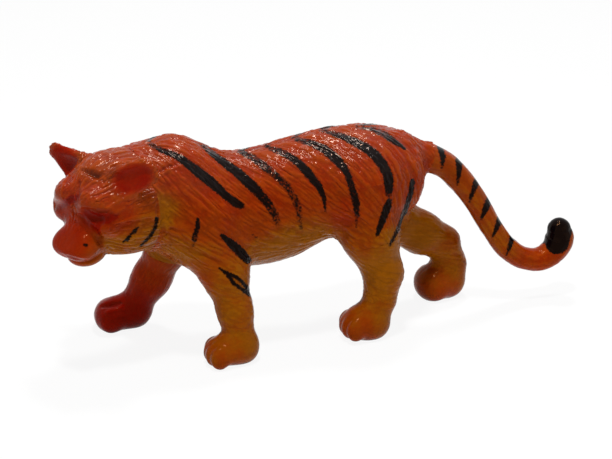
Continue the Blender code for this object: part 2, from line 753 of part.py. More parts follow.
def build_tail():
    """The tail: round sections along its curve, a domed tip and its plug."""
    path = np.array(TAIL_PATH[1:])
    chord = np.concatenate(([0.0], np.cumsum(np.hypot(*np.diff(path[:, :2], axis=0).T))))
    s = np.linspace(GAP / 2, chord[-1], TAIL_RINGS)
    x, z, radius = (through_stations(s, chord, path[:, i]) for i in range(3))
    slope = np.stack((np.gradient(x, s), np.gradient(z, s)), 1)
    slope /= np.linalg.norm(slope, axis=1, keepdims=True)
    slope[0] = (TAIL_AXIS[0], TAIL_AXIS[2])
    x[0], z[0] = (np.array(TAIL_SEAM) + GAP / 2 * TAIL_AXIS)[[0, 2]]
    lift = np.radians((22.5, 45.0, 67.5, 84.0))
    x = np.concatenate((x, x[-1] + radius[-1] * np.sin(lift) * slope[-1, 0]))
    z = np.concatenate((z, z[-1] + radius[-1] * np.sin(lift) * slope[-1, 1]))
    radius = np.concatenate((radius, radius[-1] * np.cos(lift)))
    slope = np.concatenate((slope, np.repeat(slope[-1:], len(lift), axis=0)))
    outline = circle(TAIL_SIDES)
    points = np.stack((
        x[:, None] - radius[:, None] * slope[:, 1:2] * outline[:, 0],
        radius[:, None] * outline[:, 1],
        z[:, None] + radius[:, None] * slope[:, 0:1] * outline[:, 0]), 2).reshape(-1, 3)
    index = np.arange(len(points)).reshape(-1, TAIL_SIDES)[:, ::-1]
    tail = add_object("tail", points, tube_faces(index), TAIL_SEAM)
    return combine(tail, [tail_plug("tail_plug", 0.0)], "UNION")


def build_leg(name):
    """One leg below its seam, with its peg and its flat sole."""
    leg = LEGS[name]
    seam, down = leg_seam(leg)
    obj = net_object(name, lambda points: lower_leg_form(points, leg), LEG_STEP, LEG_KEPT)
    keep_side(obj, seam + GAP / 2 * down, down)
    keep_side(obj, (0.0, 0.0, 0.0), (0.0, 0.0, 1.0))
    return combine(obj, [leg_peg(name + "_peg", leg, 0.0)], "UNION")


def main():
    """Clear the scene and build every piece."""
    for obj in list(bpy.data.objects):
        bpy.data.objects.remove(obj)
    pieces = build_torso() + [build_head(), build_tail()]
    pieces += [build_leg(name) for name in LEGS]
    for piece in pieces:
        finish(piece)


main()
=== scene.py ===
"""The looks of a moulded toy tiger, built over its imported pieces.

The figure is soft vinyl: golden, sprayed red from above, combed all over with
fine moulded fur, and striped with a brush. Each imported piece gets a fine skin
of its own form and rides on its body.

Sizes are millimetres and degrees in the figure's own frame: it walks towards
-X, its left side is at -Y, and it stands on z = 0.
"""

import itertools
import json
import logging
import math
from collections.abc import Callable, Iterable, Iterator, Sequence
from dataclasses import dataclass
from enum import Enum

import bmesh
import bpy
import numpy as np
from mathutils import Matrix, Vector
from numpy.typing import NDArray

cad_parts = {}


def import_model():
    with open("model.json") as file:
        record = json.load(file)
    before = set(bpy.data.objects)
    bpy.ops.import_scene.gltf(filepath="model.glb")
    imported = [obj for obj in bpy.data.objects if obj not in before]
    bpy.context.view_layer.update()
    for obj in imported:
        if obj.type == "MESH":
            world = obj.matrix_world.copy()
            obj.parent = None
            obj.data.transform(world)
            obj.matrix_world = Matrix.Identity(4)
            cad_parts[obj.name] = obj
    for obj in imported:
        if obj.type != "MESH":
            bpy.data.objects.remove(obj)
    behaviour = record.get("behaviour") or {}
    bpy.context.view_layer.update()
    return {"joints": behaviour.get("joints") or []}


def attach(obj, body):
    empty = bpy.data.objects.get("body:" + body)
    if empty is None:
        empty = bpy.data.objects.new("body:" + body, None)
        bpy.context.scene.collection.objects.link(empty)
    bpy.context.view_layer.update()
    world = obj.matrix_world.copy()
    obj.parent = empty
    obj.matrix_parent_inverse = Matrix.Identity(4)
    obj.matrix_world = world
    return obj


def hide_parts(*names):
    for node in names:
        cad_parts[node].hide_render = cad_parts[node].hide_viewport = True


LOG = logging.getLogger("tiger")

Array = NDArray[np.float64]
Form = Callable[[Array], Array]
Point = tuple[float, float, float]
Place = tuple[float, float, float, float]

MILLIMETRE = 0.001
GLUED_GAP = 0.03

# How finely a form is sampled, in lattice cells and millimetres
SEARCH_BOX = ((-100.0, 100.0), (-45.0, 45.0), (-15.0, 95.0))
SEARCH_STEP = 4.0
LATTICE_SHIFTS = np.mod(np.outer(range(12), (0.17, 0.37, 0.61)), 1.0)
COARSE_CELLS = 4
NEAR_CELLS = 7
SLOPE_STEP = 0.05
TINY = 1e-9

# Value noise and the strands combed from it
HASH_PRIMES = (73856093, 19349663, 83492791)
HASH_SEED = 2654435
HASH_MIX = 1274126177
HASH_BITS = 0xFFFF
LATTICE_START = 4096.0
STRAND_READINGS = 11
STRAND_SEED = 11
LOCK_SEED = 23
SWAY_SEED = 31


class Body(Enum):
    """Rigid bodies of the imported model."""

    TRUNK = "trunk"
    HEAD = "head"
    TAIL = "tail"


class Side(Enum):
    """Sides of the animal, as the sign of y."""

    LEFT = -1
    RIGHT = 1


# Distance forms


def smooth_min(a: Array, b: Array, blend: float) -> Array:
    """Union of two forms: the lesser value, lowered by a parabola where they are close.

    Args:
        a: Values of the first form.
        b: Values of the second form.
        blend: Width of the fillet.

    Returns:
        Values of the union.
    """
    h = np.maximum(blend - np.abs(a - b), 0.0) / blend
    return np.minimum(a, b) - h * h * blend / 4.0


def smooth_max(a: Array, b: Array, blend: float) -> Array:
    """Intersection of two forms with a rounded edge."""
    return -smooth_min(-a, -b, blend)


def union(forms: Sequence[Array], blend: float) -> Array:
    """Union of several forms, each faired into the next."""
    total = forms[0]
    for form in forms[1:]:
        total = smooth_min(total, form, blend)
    return total


def oval(q: Array, radii: Array) -> Array:
    """About the distance to an ellipsoid: the length over its radii, less 1, over its slope.

    Args:
        q: Places from its middle, one row each.
        radii: Its half sizes, one row for each place or one for all.

    Returns:
        About the distance, negative inside.
    """
    scaled = q / radii
    k1 = np.sqrt((scaled * scaled).sum(1))
    k2 = np.sqrt(((scaled / radii) ** 2).sum(1))
    return k1 * (k1 - 1.0) / np.maximum(k2, TINY)


def egg(points: Array, centre: Sequence[float], radii: Sequence[float]) -> Array:
    """Ellipsoid about a centre, negative inside."""
    return oval(points - np.asarray(centre, float), np.asarray(radii, float))


def bar(points: Array, start: Point, end: Point, radii: tuple[float, float], squash: float = 1.0) -> Array:
    """Round bar with a straight taper: distance to its line less the radius there.

    Args:
        points: Places to measure.
        start: Middle of its first end.
        end: Middle of its last end.
        radii: Radius at each end.
        squash: Width across the animal over the height.

    Returns:
        Distance to its surface, negative inside.
    """
    scale = np.array((1.0, squash, 1.0))
    a = np.array(start) / scale
    along = np.array(end) / scale - a
    q = points / scale - a
    t = np.clip((q @ along) / (along @ along), 0.0, 1.0)
    radius = radii[0] + (radii[1] - radii[0]) * t
    return np.linalg.norm(q - t[:, None] * along, axis=1) - radius


def drum(points: Array, centre: Array, axis: Array, radius: float, back: float, front: float) -> Array:
    """Cylinder about an axis from `back` to `front`: the greatest of three distances."""
    q = points - centre
    s = q @ axis
    radial = np.sqrt(np.maximum((q * q).sum(1) - s * s, 0.0))
    return np.maximum(np.maximum(radial - radius, s - front), back - s)


def unit(vector: Iterable[float]) -> Array:
    """The vector at length 1."""
    v = np.array(tuple(vector), float)
    return v / np.linalg.norm(v)


def heading(yaw: float, pitch: float) -> Array:
    """Direction that looks forwards, turned to the animal's left and lowered."""
    y, p = math.radians(yaw), math.radians(pitch)
    return np.array((-math.cos(y) * math.cos(p), -math.sin(y) * math.cos(p), -math.sin(p)))


def through_stations(x: Array, xs: Array, values: Array) -> Array:
    """Smooth curve through stations: cubic pieces that share their end slopes."""
    slopes = np.gradient(values, xs)
    i = np.clip(np.searchsorted(xs, x) - 1, 0, len(xs) - 2)
    span = xs[i + 1] - xs[i]
    t = (x - xs[i]) / span
    start = (1 + 2 * t) * (1 - t) ** 2 * values[i] + t * (1 - t) ** 2 * span * slopes[i]
    end = t * t * (3 - 2 * t) * values[i + 1] + t * t * (t - 1) * span * slopes[i + 1]
    return start + end


def ramp(values: Array, low: float, high: float) -> Array:
    """Smooth step from 0 at `low` to 1 at `high`: three squares less two cubes."""
    t = np.clip((values - low) / (high - low), 0.0, 1.0)
    return t * t * (3.0 - 2.0 * t)


def fall(values: Array, full: float, none: float) -> Array:
    """Smooth step from 1 at `full` down to 0 at `none`."""
    return ramp(-values, -none, -full)


def folded(q: Array) -> Array:
    """Places in the head's frame, with its right side laid over its left."""
    return np.stack((q[:, 0], np.abs(q[:, 1]), q[:, 2]), 1)


def noise(points: Array, cell: float, seed: int) -> Array:
    """Value noise from -1 to 1: hashed numbers on a lattice, faded between its corners.

    Args:
        points: Places to read.
        cell: Size of a lattice cell.
        seed: Chooses one of many such noises.

    Returns:
        One value for each place.
    """
    q = points / cell + LATTICE_START
    base = np.floor(q).astype(np.int64)
    t = q - base
    t = t * t * (3.0 - 2.0 * t)
    total = np.zeros(len(points))
    for corner in itertools.product((0, 1), repeat=3):
        mixed = np.bitwise_xor.reduce((base + np.array(corner)) * HASH_PRIMES, axis=1) ^ (seed * HASH_SEED)
        mixed = (mixed ^ (mixed >> 13)) * HASH_MIX
        value = ((mixed ^ (mixed >> 16)) & HASH_BITS) / (HASH_BITS / 2) - 1.0
        total += np.prod(np.where(corner, t, 1.0 - t), axis=1) * value
    return total


def combed(points: Array, flow: Array, cell: float, reach: float, seed: int) -> Array:
    """Strands: the mean of a fine noise over a short straight stretch along a flow.

    Args:
        points: Places to read.
        flow: Direction of the strands at each place.
        cell: Width of a strand.
        reach: Half the length of a strand.
        seed: Chooses the noise.

    Returns:
        Values with a spread of 1.
    """
    steps = np.linspace(-1.0, 1.0, STRAND_READINGS)
    total = sum(noise(points + reach * s * flow, cell, seed) for s in steps)
    return total / max(float(total.std()), TINY)


# Lattice skins


def form_box(form: Form) -> tuple[Array, Array]:
    """Corners of a box round a form, found on a sparse lattice."""
    axes = [np.arange(a, b, SEARCH_STEP) for a, b in SEARCH_BOX]
    grid = np.stack(np.meshgrid(*axes, indexing="ij"), -1).reshape(-1, 3)
    inside = grid[form(grid) < SEARCH_STEP / 2]
    return inside.min(0) - 1.5 * SEARCH_STEP, inside.max(0) + 1.5 * SEARCH_STEP


def lattice_values(form: Form, low: Array, step: float, counts: Array) -> Array:
    """Values of a form on a lattice, worked out finely near its surface only."""
    axes = [low[i] + COARSE_CELLS * step * np.arange((counts[i] - 1) // COARSE_CELLS + 1) for i in range(3)]
    grid = np.stack(np.meshgrid(*axes, indexing="ij"), -1)
    coarse = form(grid.reshape(-1, 3)).reshape(grid.shape[:3])
    wide = np.zeros(counts, bool)
    for cell in np.argwhere(np.abs(coarse) < NEAR_CELLS * step):
        first = np.maximum(COARSE_CELLS * (cell - 1), 0)
        last = COARSE_CELLS * (cell + 1) + 1
        wide[first[0]:last[0], first[1]:last[1], first[2]:last[2]] = True
    values = coarse
    for axis in range(3):
        values = np.repeat(values, COARSE_CELLS, axis=axis)
    values = values[:counts[0], :counts[1], :counts[2]].copy()
    values[wide] = form(low + step * np.argwhere(wide))
    return values


@dataclass
class Skin:
    """Closed quad mesh that lies on a form."""

    points: Array
    quads: NDArray[np.int64]

    @classmethod
    def of_form(cls, form: Form, step: float) -> "Skin":
        """Surface net of a form.

        Each lattice cell that the surface crosses gets a vertex at the mean of
        the crossings on its edges, and each crossed edge a quad round it.

        Args:
            form: The form.
            step: Size of a lattice cell.

        Returns:
            The skin, settled on the form.
        """
        low, high = form_box(form)
        counts = COARSE_CELLS * np.ceil((high - low) / step / COARSE_CELLS).astype(int) + 1
        for shift in LATTICE_SHIFTS:
            start = low + shift * step
            values = lattice_values(form, start, step, counts)
            inside = values < 0
            a, b, c = counts - 1
            corners = sum(inside[i:a + i, j:b + j, k:c + k].astype(int)
                          for i, j, k in itertools.product((0, 1), repeat=3))
            crossed = (corners > 0) & (corners < 8)
            number = np.where(crossed, np.cumsum(crossed).reshape(crossed.shape) - 1, -1)
            skin = cls(cls._crossings(values, np.argwhere(crossed)), cls._quads(inside, number))
            if skin.is_closed():
                break
        skin.points = start + step * skin.points
        skin.settle(form, step)
        return skin

    @staticmethod
    def _crossings(values: Array, cells: NDArray[np.int64]) -> Array:
        """Mean of the crossings on the twelve edges of each cell, in lattice steps."""
        total = np.zeros((len(cells), 3))
        hits = np.zeros((len(cells), 1))
        for axis, u, v in itertools.product(range(3), (0, 1), (0, 1)):
            first = cells.copy()
            first[:, (axis + 1) % 3] += u
            first[:, (axis + 2) % 3] += v
            second = first.copy()
            second[:, axis] += 1
            a, b = values[tuple(first.T)], values[tuple(second.T)]
            cut = (a < 0) != (b < 0)
            point = first.astype(float)
            point[cut, axis] += a[cut] / (a[cut] - b[cut])
            total[cut] += point[cut]
            hits[cut] += 1
        return total / hits

    @staticmethod
    def _quads(inside: NDArray[np.bool_], number: NDArray[np.int64]) -> NDArray[np.int64]:
        """A quad round each lattice edge that the surface crosses, facing outwards."""
        quads = []
        for axis in range(3):
            before = inside.take(range(inside.shape[axis] - 1), axis)
            after = inside.take(range(1, inside.shape[axis]), axis)
            edges = np.argwhere(before != after)
            ring = []
            for du, dv in ((0, 0), (-1, 0), (-1, -1), (0, -1)):
                cell = edges.copy()
                cell[:, (axis + 1) % 3] += du
                cell[:, (axis + 2) % 3] += dv
                ring.append(number[tuple(cell.T)])
            ring = np.stack(ring, 1)
            entering = ~before[tuple(edges.T)]
            ring[entering] = ring[entering][:, ::-1]
            quads.append(ring)
        return np.concatenate(quads)

    def _edges(self) -> tuple[NDArray[np.int64], NDArray[np.int64], NDArray[np.int64]]:
        """Unique edges, the edge after each quad corner, and how many faces each has."""
        pairs = np.sort(np.stack((self.quads, np.roll(self.quads, -1, 1)), 2).reshape(-1, 2), axis=1)
        keys, index, count = np.unique(pairs[:, 0] * len(self.points) + pairs[:, 1],
                                       return_inverse=True, return_counts=True)
        edges = np.stack((keys // len(self.points), keys % len(self.points)), 1)
        return edges, index.reshape(-1, 4), count

    def is_closed(self) -> bool:
        """Whether every edge has two faces."""
        return bool((self._edges()[2] == 2).all())

    def refine(self, form: Form, spacing: float) -> None:
        """Split each quad in four, even the points out, and settle them on the form.

        Args:
            form: The form that the skin lies on.
            spacing: Distance between points after the split.
        """
        edges, index, _ = self._edges()
        count = len(self.points)
        middles = self.points[edges].mean(1)
        centres = self.points[self.quads].mean(1)
        e = count + index
        c = count + len(edges) + np.arange(len(self.quads))
        self.quads = np.concatenate([
            np.stack((self.quads[:, i], e[:, i], c, e[:, i - 1]), 1) for i in range(4)])
        self.points = np.concatenate((self.points, middles, centres))
        self._relax(2)
        self.settle(form, spacing)

    def _relax(self, rounds: int) -> None:
        """Move each point half way to the mean of its neighbours."""
        edges, _, _ = self._edges()
        degree = np.bincount(edges.ravel(), minlength=len(self.points))[:, None]
        for _ in range(rounds):
            total = np.stack([
                np.bincount(edges[:, 0], self.points[edges[:, 1], axis], len(self.points))
                + np.bincount(edges[:, 1], self.points[edges[:, 0], axis], len(self.points))
                for axis in range(3)], 1)
            self.points = 0.5 * self.points + 0.5 * total / degree

    def settle(self, form: Form, step: float) -> Array:
        """Move the points onto a form's surface along its slope.

        Args:
            form: The form.
            step: Twice the furthest that a point may move in one round.

        Returns:
            Outward direction at each point.
        """
        for _ in range(2):
            value = form(self.points)
            slope = slope_of(form, self.points, value)
            move = (value / np.maximum((slope * slope).sum(1), 0.05))[:, None] * slope
            length = np.linalg.norm(move, axis=1, keepdims=True)
            self.points = self.points - move * np.minimum(1.0, 0.5 * step / np.maximum(length, TINY))
        return slope / np.maximum(np.linalg.norm(slope, axis=1, keepdims=True), TINY)


def slope_of(form: Form, points: Array, value: Array) -> Array:
    """Slope of a form at points: its change over a small step along each axis."""
    slope = np.zeros_like(points)
    for axis in range(3):
        shift = np.zeros(3)
        shift[axis] = SLOPE_STEP
        slope[:, axis] = (form(points + shift) - value) / SLOPE_STEP
    return slope


# The photograph's camera


@dataclass(frozen=True)
class PhotoCamera:
    """Pinhole camera that stands where the photograph was taken from; it sees from `nearest` metres on."""

    azimuth: float = -17.0
    elevation: float = 22.0
    distance: float = 400.0
    target: Point = (0.8, -2.0, 28.0)
    focal_pixels: float = 1600.0
    width: float = 612.0
    height: float = 459.0
    sensor_width: float = 36.0
    nearest: float = 0.01
    furthest: float = 20.0

    def axes(self) -> Array:
        """Rows: the camera's right, up and backward directions."""
        a, e = math.radians(self.azimuth), math.radians(self.elevation)
        back = np.array((math.sin(a) * math.cos(e), -math.cos(a) * math.cos(e), math.sin(e)))
        right = np.array((math.cos(a), math.sin(a), 0.0))
        return np.stack((right, np.cross(back, right), back))

    def place(self) -> Array:
        """Where the camera stands."""
        return np.array(self.target) + self.distance * self.axes()[2]

    def pixels(self, points: Array) -> Array:
        """Pixel of each point: its sideways and upward offsets over its depth.

        Args:
            points: Places on the figure.

        Returns:
            Columns and rows of the photograph.
        """
        q = (points - self.place()) @ self.axes().T
        depth = -q[:, 2]
        column = self.width / 2 + self.focal_pixels * q[:, 0] / depth
        row = self.height / 2 - self.focal_pixels * q[:, 1] / depth
        return np.stack((column, row), 1)

    def build(self, shift: Array) -> bpy.types.Object:
        """Make the scene's camera.

        Args:
            shift: From the figure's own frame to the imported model's, in millimetres.

        Returns:
            The camera.
        """
        data = bpy.data.cameras.new("photo_camera")
        data.sensor_width = self.sensor_width
        data.lens = self.focal_pixels / self.width * self.sensor_width
        data.clip_start = self.nearest
        data.clip_end = self.furthest
        camera = bpy.data.objects.new("photo_camera", data)
        camera.location = Vector((self.place() + shift) * MILLIMETRE)
        camera.rotation_euler = Matrix(self.axes().T.tolist()).to_euler()
        bpy.context.scene.collection.objects.link(camera)
        bpy.context.scene.camera = camera
        return camera


CAMERA = PhotoCamera()


# Paint


# Width and soft edge of paint in pixels, how much painted shade darkens a crease, and the turn that the
# camera still sees
BRUSH_SPREAD = 1.16
BRUSH_EDGE = 1.6
GLAZE_EDGE = 2.0
GLAZE_TINT = 1.12
CREASE_SHADE = 4.0
MIST_CORE = 0.35
FACES_AWAY = -0.06
FACES_CAMERA = 0.1


@dataclass(frozen=True)
class Line:
    """A line through places read in the photograph.

    Each place is a column, a row, a width in pixels, and a value. Along each
    stretch the width and the value change evenly.
    """

    places: tuple[Place, ...]

    def stretches(self, pixels: Array) -> Iterator[tuple[Array, Array, Array]]:
        """Distance to the line, the width and the value, stretch by stretch."""
        for (xa, ya, wa, ca), (xb, yb, wb, cb) in itertools.pairwise(self.places):
            a = np.array((xa, ya))
            along = np.array((xb - xa, yb - ya))
            t = np.clip((pixels - a) @ along / (along @ along), 0.0, 1.0)
            away = np.linalg.norm(pixels - a - t[:, None] * along, axis=1)
            yield away, wa + (wb - wa) * t, ca + (cb - ca) * t

    def cover(self, pixels: Array, spread: float, edge: float) -> Array:
        """The value times a smooth step of half the width less the distance to the line.

        Args:
            pixels: Columns and rows.
            spread: Share of the width that is covered.
            edge: Half the width of the soft edge, in pixels.

        Returns:
            The greatest over the stretches.
        """
        return np.max([value * ramp(spread * width / 2 - away, -edge, edge)
                       for away, width, value in self.stretches(pixels)], axis=0)


class Stroke(Line):
    """Brush stroke: the value is how well the brush covered, less where it skipped."""

    def paint(self, pixels: Array) -> Array:
        """How well the paint covers."""
        return self.cover(pixels, BRUSH_SPREAD, BRUSH_EDGE)


class Dip(Stroke):
    """Paint that goes all round, as on a dipped tip."""


class Crease(Line):
    """Moulded crease: the value is its depth in millimetres, or less than 0 for a ridge. A crease also gets
    painted shade and a ridge a painted highlight, in step with the depth.
    """

    def depth(self, pixels: Array) -> Array:
        """Depth that falls smoothly from the line to nothing at its width, the deepest stretch counting."""
        depths = np.array([value * fall(away, 0.0, width) for away, width, value in self.stretches(pixels)])
        return np.take_along_axis(depths, np.abs(depths).argmax(0)[None], 0)[0]


class Glaze(Line):
    """Sharp dab of the darkest red: the value is its share."""

    def share(self, pixels: Array) -> Array:
        """Share of the dab."""
        return self.cover(pixels, 1.0, GLAZE_EDGE)


BODY_STROKES = (
    # From the withers over the shoulder
    Stroke(((142, 138, 4, 0.4), (153, 146, 5, 0.55), (163, 151, 5, 0.85), (174, 155, 5.5, 0.9),
            (183, 160, 7, 0.9), (197, 171, 9, 1), (212, 183, 9, 1), (225, 195, 7, 1), (237, 204, 7.5, 1),
            (241, 206, 6, 0.8))),
    # From the back over the first ribs
    Stroke(((195, 140, 3, 0.5), (209.5, 151, 5, 0.75), (223, 162, 7, 0.95), (238, 173, 8.5, 1),
            (253, 187, 9, 1), (267, 202, 8, 0.8), (275, 215, 7.5, 0.52), (278.5, 227, 5, 0.42))),
    # Thin one on the ribs
    Stroke(((237, 150, 4, 0.7), (253, 158, 6.5, 0.72), (263, 165, 7, 0.72), (275, 175, 7, 0.66),
            (289, 188, 6.5, 0.58), (295.5, 200, 7, 0.55), (299, 212, 6.5, 0.55), (301.5, 230, 3.5, 0.42))),
    # Flank
    Stroke(((262, 145, 3.5, 0.5), (280, 151.5, 6, 0.7), (289, 156, 6, 0.85), (298.5, 163, 7, 0.95),
            (309, 174, 7.5, 1), (318.5, 186, 6.5, 0.95), (324, 197, 4, 0.9), (325.5, 212, 1.8, 0.75))),
    # Loin
    Stroke(((291, 138, 3.5, 0.5), (311, 143, 6, 0.75), (324.5, 149, 7.5, 0.9), (337, 160, 8.5, 0.95),
            (344, 168, 7, 0.95), (348, 175, 6, 0.8), (352, 188, 6.5, 0.75), (356, 201.5, 7, 0.75),
            (357, 215, 4.5, 0.7), (356, 227, 1.8, 0.6))),
    # Haunch, and its end below a gap
    Stroke(((316, 128, 4, 0.5), (331, 133, 4.5, 0.7), (341.5, 136, 5.5, 0.85), (354, 141.5, 7.5, 0.95),
            (366, 148, 8.5, 1), (375, 155, 9, 1), (383, 165, 9, 1), (388.5, 177, 8.5, 1), (389, 188, 7.5, 1),
            (388.5, 194, 6, 0.75))),
    Stroke(((389.5, 201, 5, 0.9), (387.5, 206, 7, 0.95), (384.6, 215, 7, 0.9), (380, 226, 5.5, 0.95),
            (377, 235, 3, 0.95))),
    # Rump
    Stroke(((357, 127, 3.5, 0.45), (372, 129, 4.5, 0.65), (384.5, 134.5, 6, 0.75), (394, 141, 5.5, 0.85),
            (404.5, 148.5, 2.5, 0.9))),
    # Back of the thigh
    Stroke(((412.6, 181, 4.5, 0.95), (411, 192, 5, 0.85), (406, 208, 4.5, 0.9), (398.5, 228, 4, 0.9),
            (390, 245, 2.5, 0.8))),
    # Neck
    Stroke(((197.5, 219, 3, 0.9), (197.5, 228, 5, 0.95), (195, 236, 5.5, 0.7), (192.5, 247, 3, 0.35))),
    # Upper foreleg, and a touch beside it
    Stroke(((222, 235.5, 4, 1), (233, 245, 8, 1), (240, 252, 8.5, 1), (247.5, 260, 6.5, 1))),
    Stroke(((253, 234, 3, 0.35), (256, 237, 4, 0.4))),
)
LEG_STROKES = (
    # Both arms of the foreleg's narrow loop
    Stroke(((219.5, 268.5, 2.5, 0.8), (228, 274, 4, 0.95), (237, 277.5, 3, 0.95), (243, 283, 3, 0.95),
            (249.5, 291, 4, 1))),
    Stroke(((228, 275, 4, 0.95), (234, 283.5, 3.5, 0.95), (241, 288.5, 3.5, 0.95), (249.5, 294.5, 4, 1))),
)
TAIL_STROKES = (
    # Rings, from the root to the curl
    Stroke(((416.5, 134, 5, 0.9), (422, 145, 6, 0.95), (424.8, 159, 3.5, 0.8))),
    Stroke(((440, 147, 5.5, 0.9), (443, 157, 5, 0.9), (442, 168, 2.5, 0.7))),
    Stroke(((459, 160, 6, 0.9), (459, 173, 5, 0.9), (457, 185, 2, 0.7))),
    Stroke(((477, 181, 6, 0.85), (473, 191, 4.5, 0.85), (469.5, 202, 2, 0.7))),
    Stroke(((489, 200, 6, 0.9), (486, 208, 6, 0.9), (481, 219, 2.5, 0.7))),
    Stroke(((500, 219, 6, 0.85), (497, 227, 4.5, 0.9), (492.5, 237, 2, 0.7))),
    Stroke(((512, 238, 5, 0.9), (510, 246, 4, 0.9), (506.5, 255.5, 2, 0.7))),
)
TAIL_TIP = Dip(((561, 224, 22, 1), (557, 242, 21, 1)))
HEAD_STROKES = (
    # Cheek
    Stroke(((137.5, 227.5, 2.5, 0.8), (134.5, 231, 4, 0.9), (131, 234.5, 2.5, 0.75), (127, 239.5, 3.5, 0.9),
            (123.5, 241.5, 2, 0.7))),
    # Edge of the ruff
    Stroke(((156.7, 219, 3.5, 0.95), (155.3, 227, 3.5, 0.95), (150.5, 236, 3, 0.95), (141, 245.5, 2.5, 0.9))),
    # Dot on the muzzle
    Stroke(((85, 245, 3.4, 0.75), (86, 245.2, 3.4, 0.75))),
)
HEAD_CREASES = (
    # Crown beside the far ear
    Crease(((82, 170.2, 3.5, 0.4), (90, 173, 5.5, 0.8), (97, 176, 6, 0.8), (102, 174.2, 3.5, 0.3))),
    # Both eye hollows
    Crease(((87, 215, 8, 0.4), (99, 219, 12, 0.75), (109, 219, 11, 0.65), (117, 217, 7, 0.2))),
    Crease(((62, 206, 5, 0.15), (69, 201, 8, 0.35), (77, 197, 5, 0.2))),
    # Mouth
    Crease(((67, 256, 2.5, 0.2), (73, 258.5, 3, 0.35), (80, 260.7, 3, 0.35), (89, 261.5, 3, 0.35),
            (95, 257.5, 3, 0.3), (101, 249.5, 2.5, 0.2))),
    # Edge of the muzzle
    Crease(((79, 215, 3, 0.2), (87, 223, 4, 0.35), (98, 234, 4.5, 0.45), (102, 246, 4, 0.35))),
    # Under the brow
    Crease(((84, 209, 4, 0.3), (95, 211, 4, 0.4), (107, 212, 4, 0.35), (118, 216, 3, 0.15))),
    # Furrow between the brows
    Crease(((79, 182, 3, 0.2), (78, 195, 3, 0.25), (76, 206, 3, 0.2))),
    # Step from the ruff to the neck
    Crease(((158, 178, 3, 0.2), (157.5, 200, 3, 0.22), (157.3, 219, 3, 0.25), (151, 237, 3, 0.25),
            (141, 246, 3, 0.15))),
    # Rim of the near ear
    Crease(((118, 170, 2.5, -0.12), (128, 163.5, 3, -0.2), (144, 162.5, 3, -0.22), (154, 167.5, 3, -0.2),
            (158, 177, 2.5, -0.12))),
)
TRUNK_CREASES = (
    # Fold of the nape, and the groove above it
    Crease(((159, 177.5, 3, -0.2), (163, 173, 3, -0.3), (170, 169.5, 3, -0.28), (181, 166, 2.5, -0.15))),
    Crease(((160, 172, 3, 0.2), (166, 167.5, 3, 0.3), (175, 164.5, 3, 0.2))),
)
PAW_CREASES = (
    # Groove over the far forepaw, and the ridge below it
    Crease(((102, 306.5, 3, 0.4), (111, 304.5, 4, 0.7), (120, 303, 3, 0.4))),
    Crease(((107, 312.5, 3.5, -0.25), (122, 308, 3.5, -0.25))),
)
EYE_GLAZES = (
    # Round the near eye, and down beside the muzzle
    Glaze(((87, 214.5, 6, 0.85), (98, 218, 10, 1), (108, 218.5, 10, 1), (116, 217, 5, 0.8))),
    Glaze(((94, 220, 8, 0.95), (97, 227, 7, 0.9), (99, 233, 3, 0.7))),
    # Round the far eye
    Glaze(((61, 207, 3, 0.6), (66, 202.5, 7, 0.95), (72, 199, 8, 0.95), (77.5, 196.5, 4, 0.7))),
)


@dataclass(frozen=True)
class Mist:
    """One puff of the spray gun: a soft ball of tint.

    Tint runs from 0, bare gold, to 1, red; the puff's share of a place falls
    from 1 at its core to 0 at its radius.
    """

    centre: Point
    radius: float
    tint: float
    strength: float = 1.0

    def spray(self, points: Array, under: Array) -> Array:
        """Tint after this puff.

        Args:
            points: Places on the figure.
            under: Tint before it.

        Returns:
            Tint after it.
        """
        away = np.linalg.norm(points - np.array(self.centre), axis=1)
        share = self.strength * fall(away, MIST_CORE * self.radius, self.radius)
        return under + share * (self.tint - under)


def sprayed(points: Array, under: Array, mists: Iterable[Mist]) -> Array:
    """Tint at places after several puffs, one over the other."""
    for mist in mists:
        under = mist.spray(points, under)
    return under


# Finishes


class NodeSheet:
    """Short hand for laying out a node tree."""

    def __init__(self, tree: bpy.types.NodeTree) -> None:
        """Start on a tree."""
        self.tree = tree

    def add(self, kind: str, settings: dict[str, object] | None = None, **inputs: object) -> bpy.types.Node:
        """Add a node.

        Args:
            kind: Node type without its ShaderNode start.
            settings: Properties of the node.
            **inputs: Values or output sockets by input name, with _ for spaces.

        Returns:
            The node.
        """
        node = self.tree.nodes.new(kind if kind.startswith("NodeGroup") else "ShaderNode" + kind)
        for name, value in (settings or {}).items():
            setattr(node, name, value)
        for name, value in inputs.items():
            socket = self._socket(node, name)
            if isinstance(value, bpy.types.NodeSocket):
                self.tree.links.new(value, socket)
            else:
                socket.default_value = value
        return node

    @staticmethod
    def _socket(node: bpy.types.Node, name: str) -> bpy.types.NodeSocket:
        """Input of a node by name, or by number where the name is n0, n1 and so on."""
        if name[0] == "n" and name[1:].isdigit():
            return node.inputs[int(name[1:])]
        return node.inputs[name.replace("_", " ")]

    def math(self, operation: str, *values: object) -> bpy.types.NodeSocket:
        """Result of a sum of one or two values."""
        inputs = {f"n{i}": value for i, value in enumerate(values)}
        return self.add("Math", {"operation": operation}, **inputs).outputs[0]

    def step(self, value: object, low: float, high: float, start: float = 0.0,
             end: float = 1.0) -> bpy.types.NodeSocket:
        """Smooth step of a value between two marks, from start to end."""
        return self.add("MapRange", {"interpolation_type": "SMOOTHSTEP"}, Value=value, From_Min=low,
                        From_Max=high, To_Min=start, To_Max=end).outputs[0]

    def mix(self, share: object, a: object, b: object, blend: str = "MIX") -> bpy.types.NodeSocket:
        """Mix of two colours."""
        node = self.add("Mix", {"data_type": "RGBA", "blend_type": blend, "clamp_result": False})
        for socket, value in zip((node.inputs[0], node.inputs[6], node.inputs[7]), (share, a, b)):
            if isinstance(value, bpy.types.NodeSocket):
                self.tree.links.new(value, socket)
            else:
                socket.default_value = value
        return node.outputs[2]


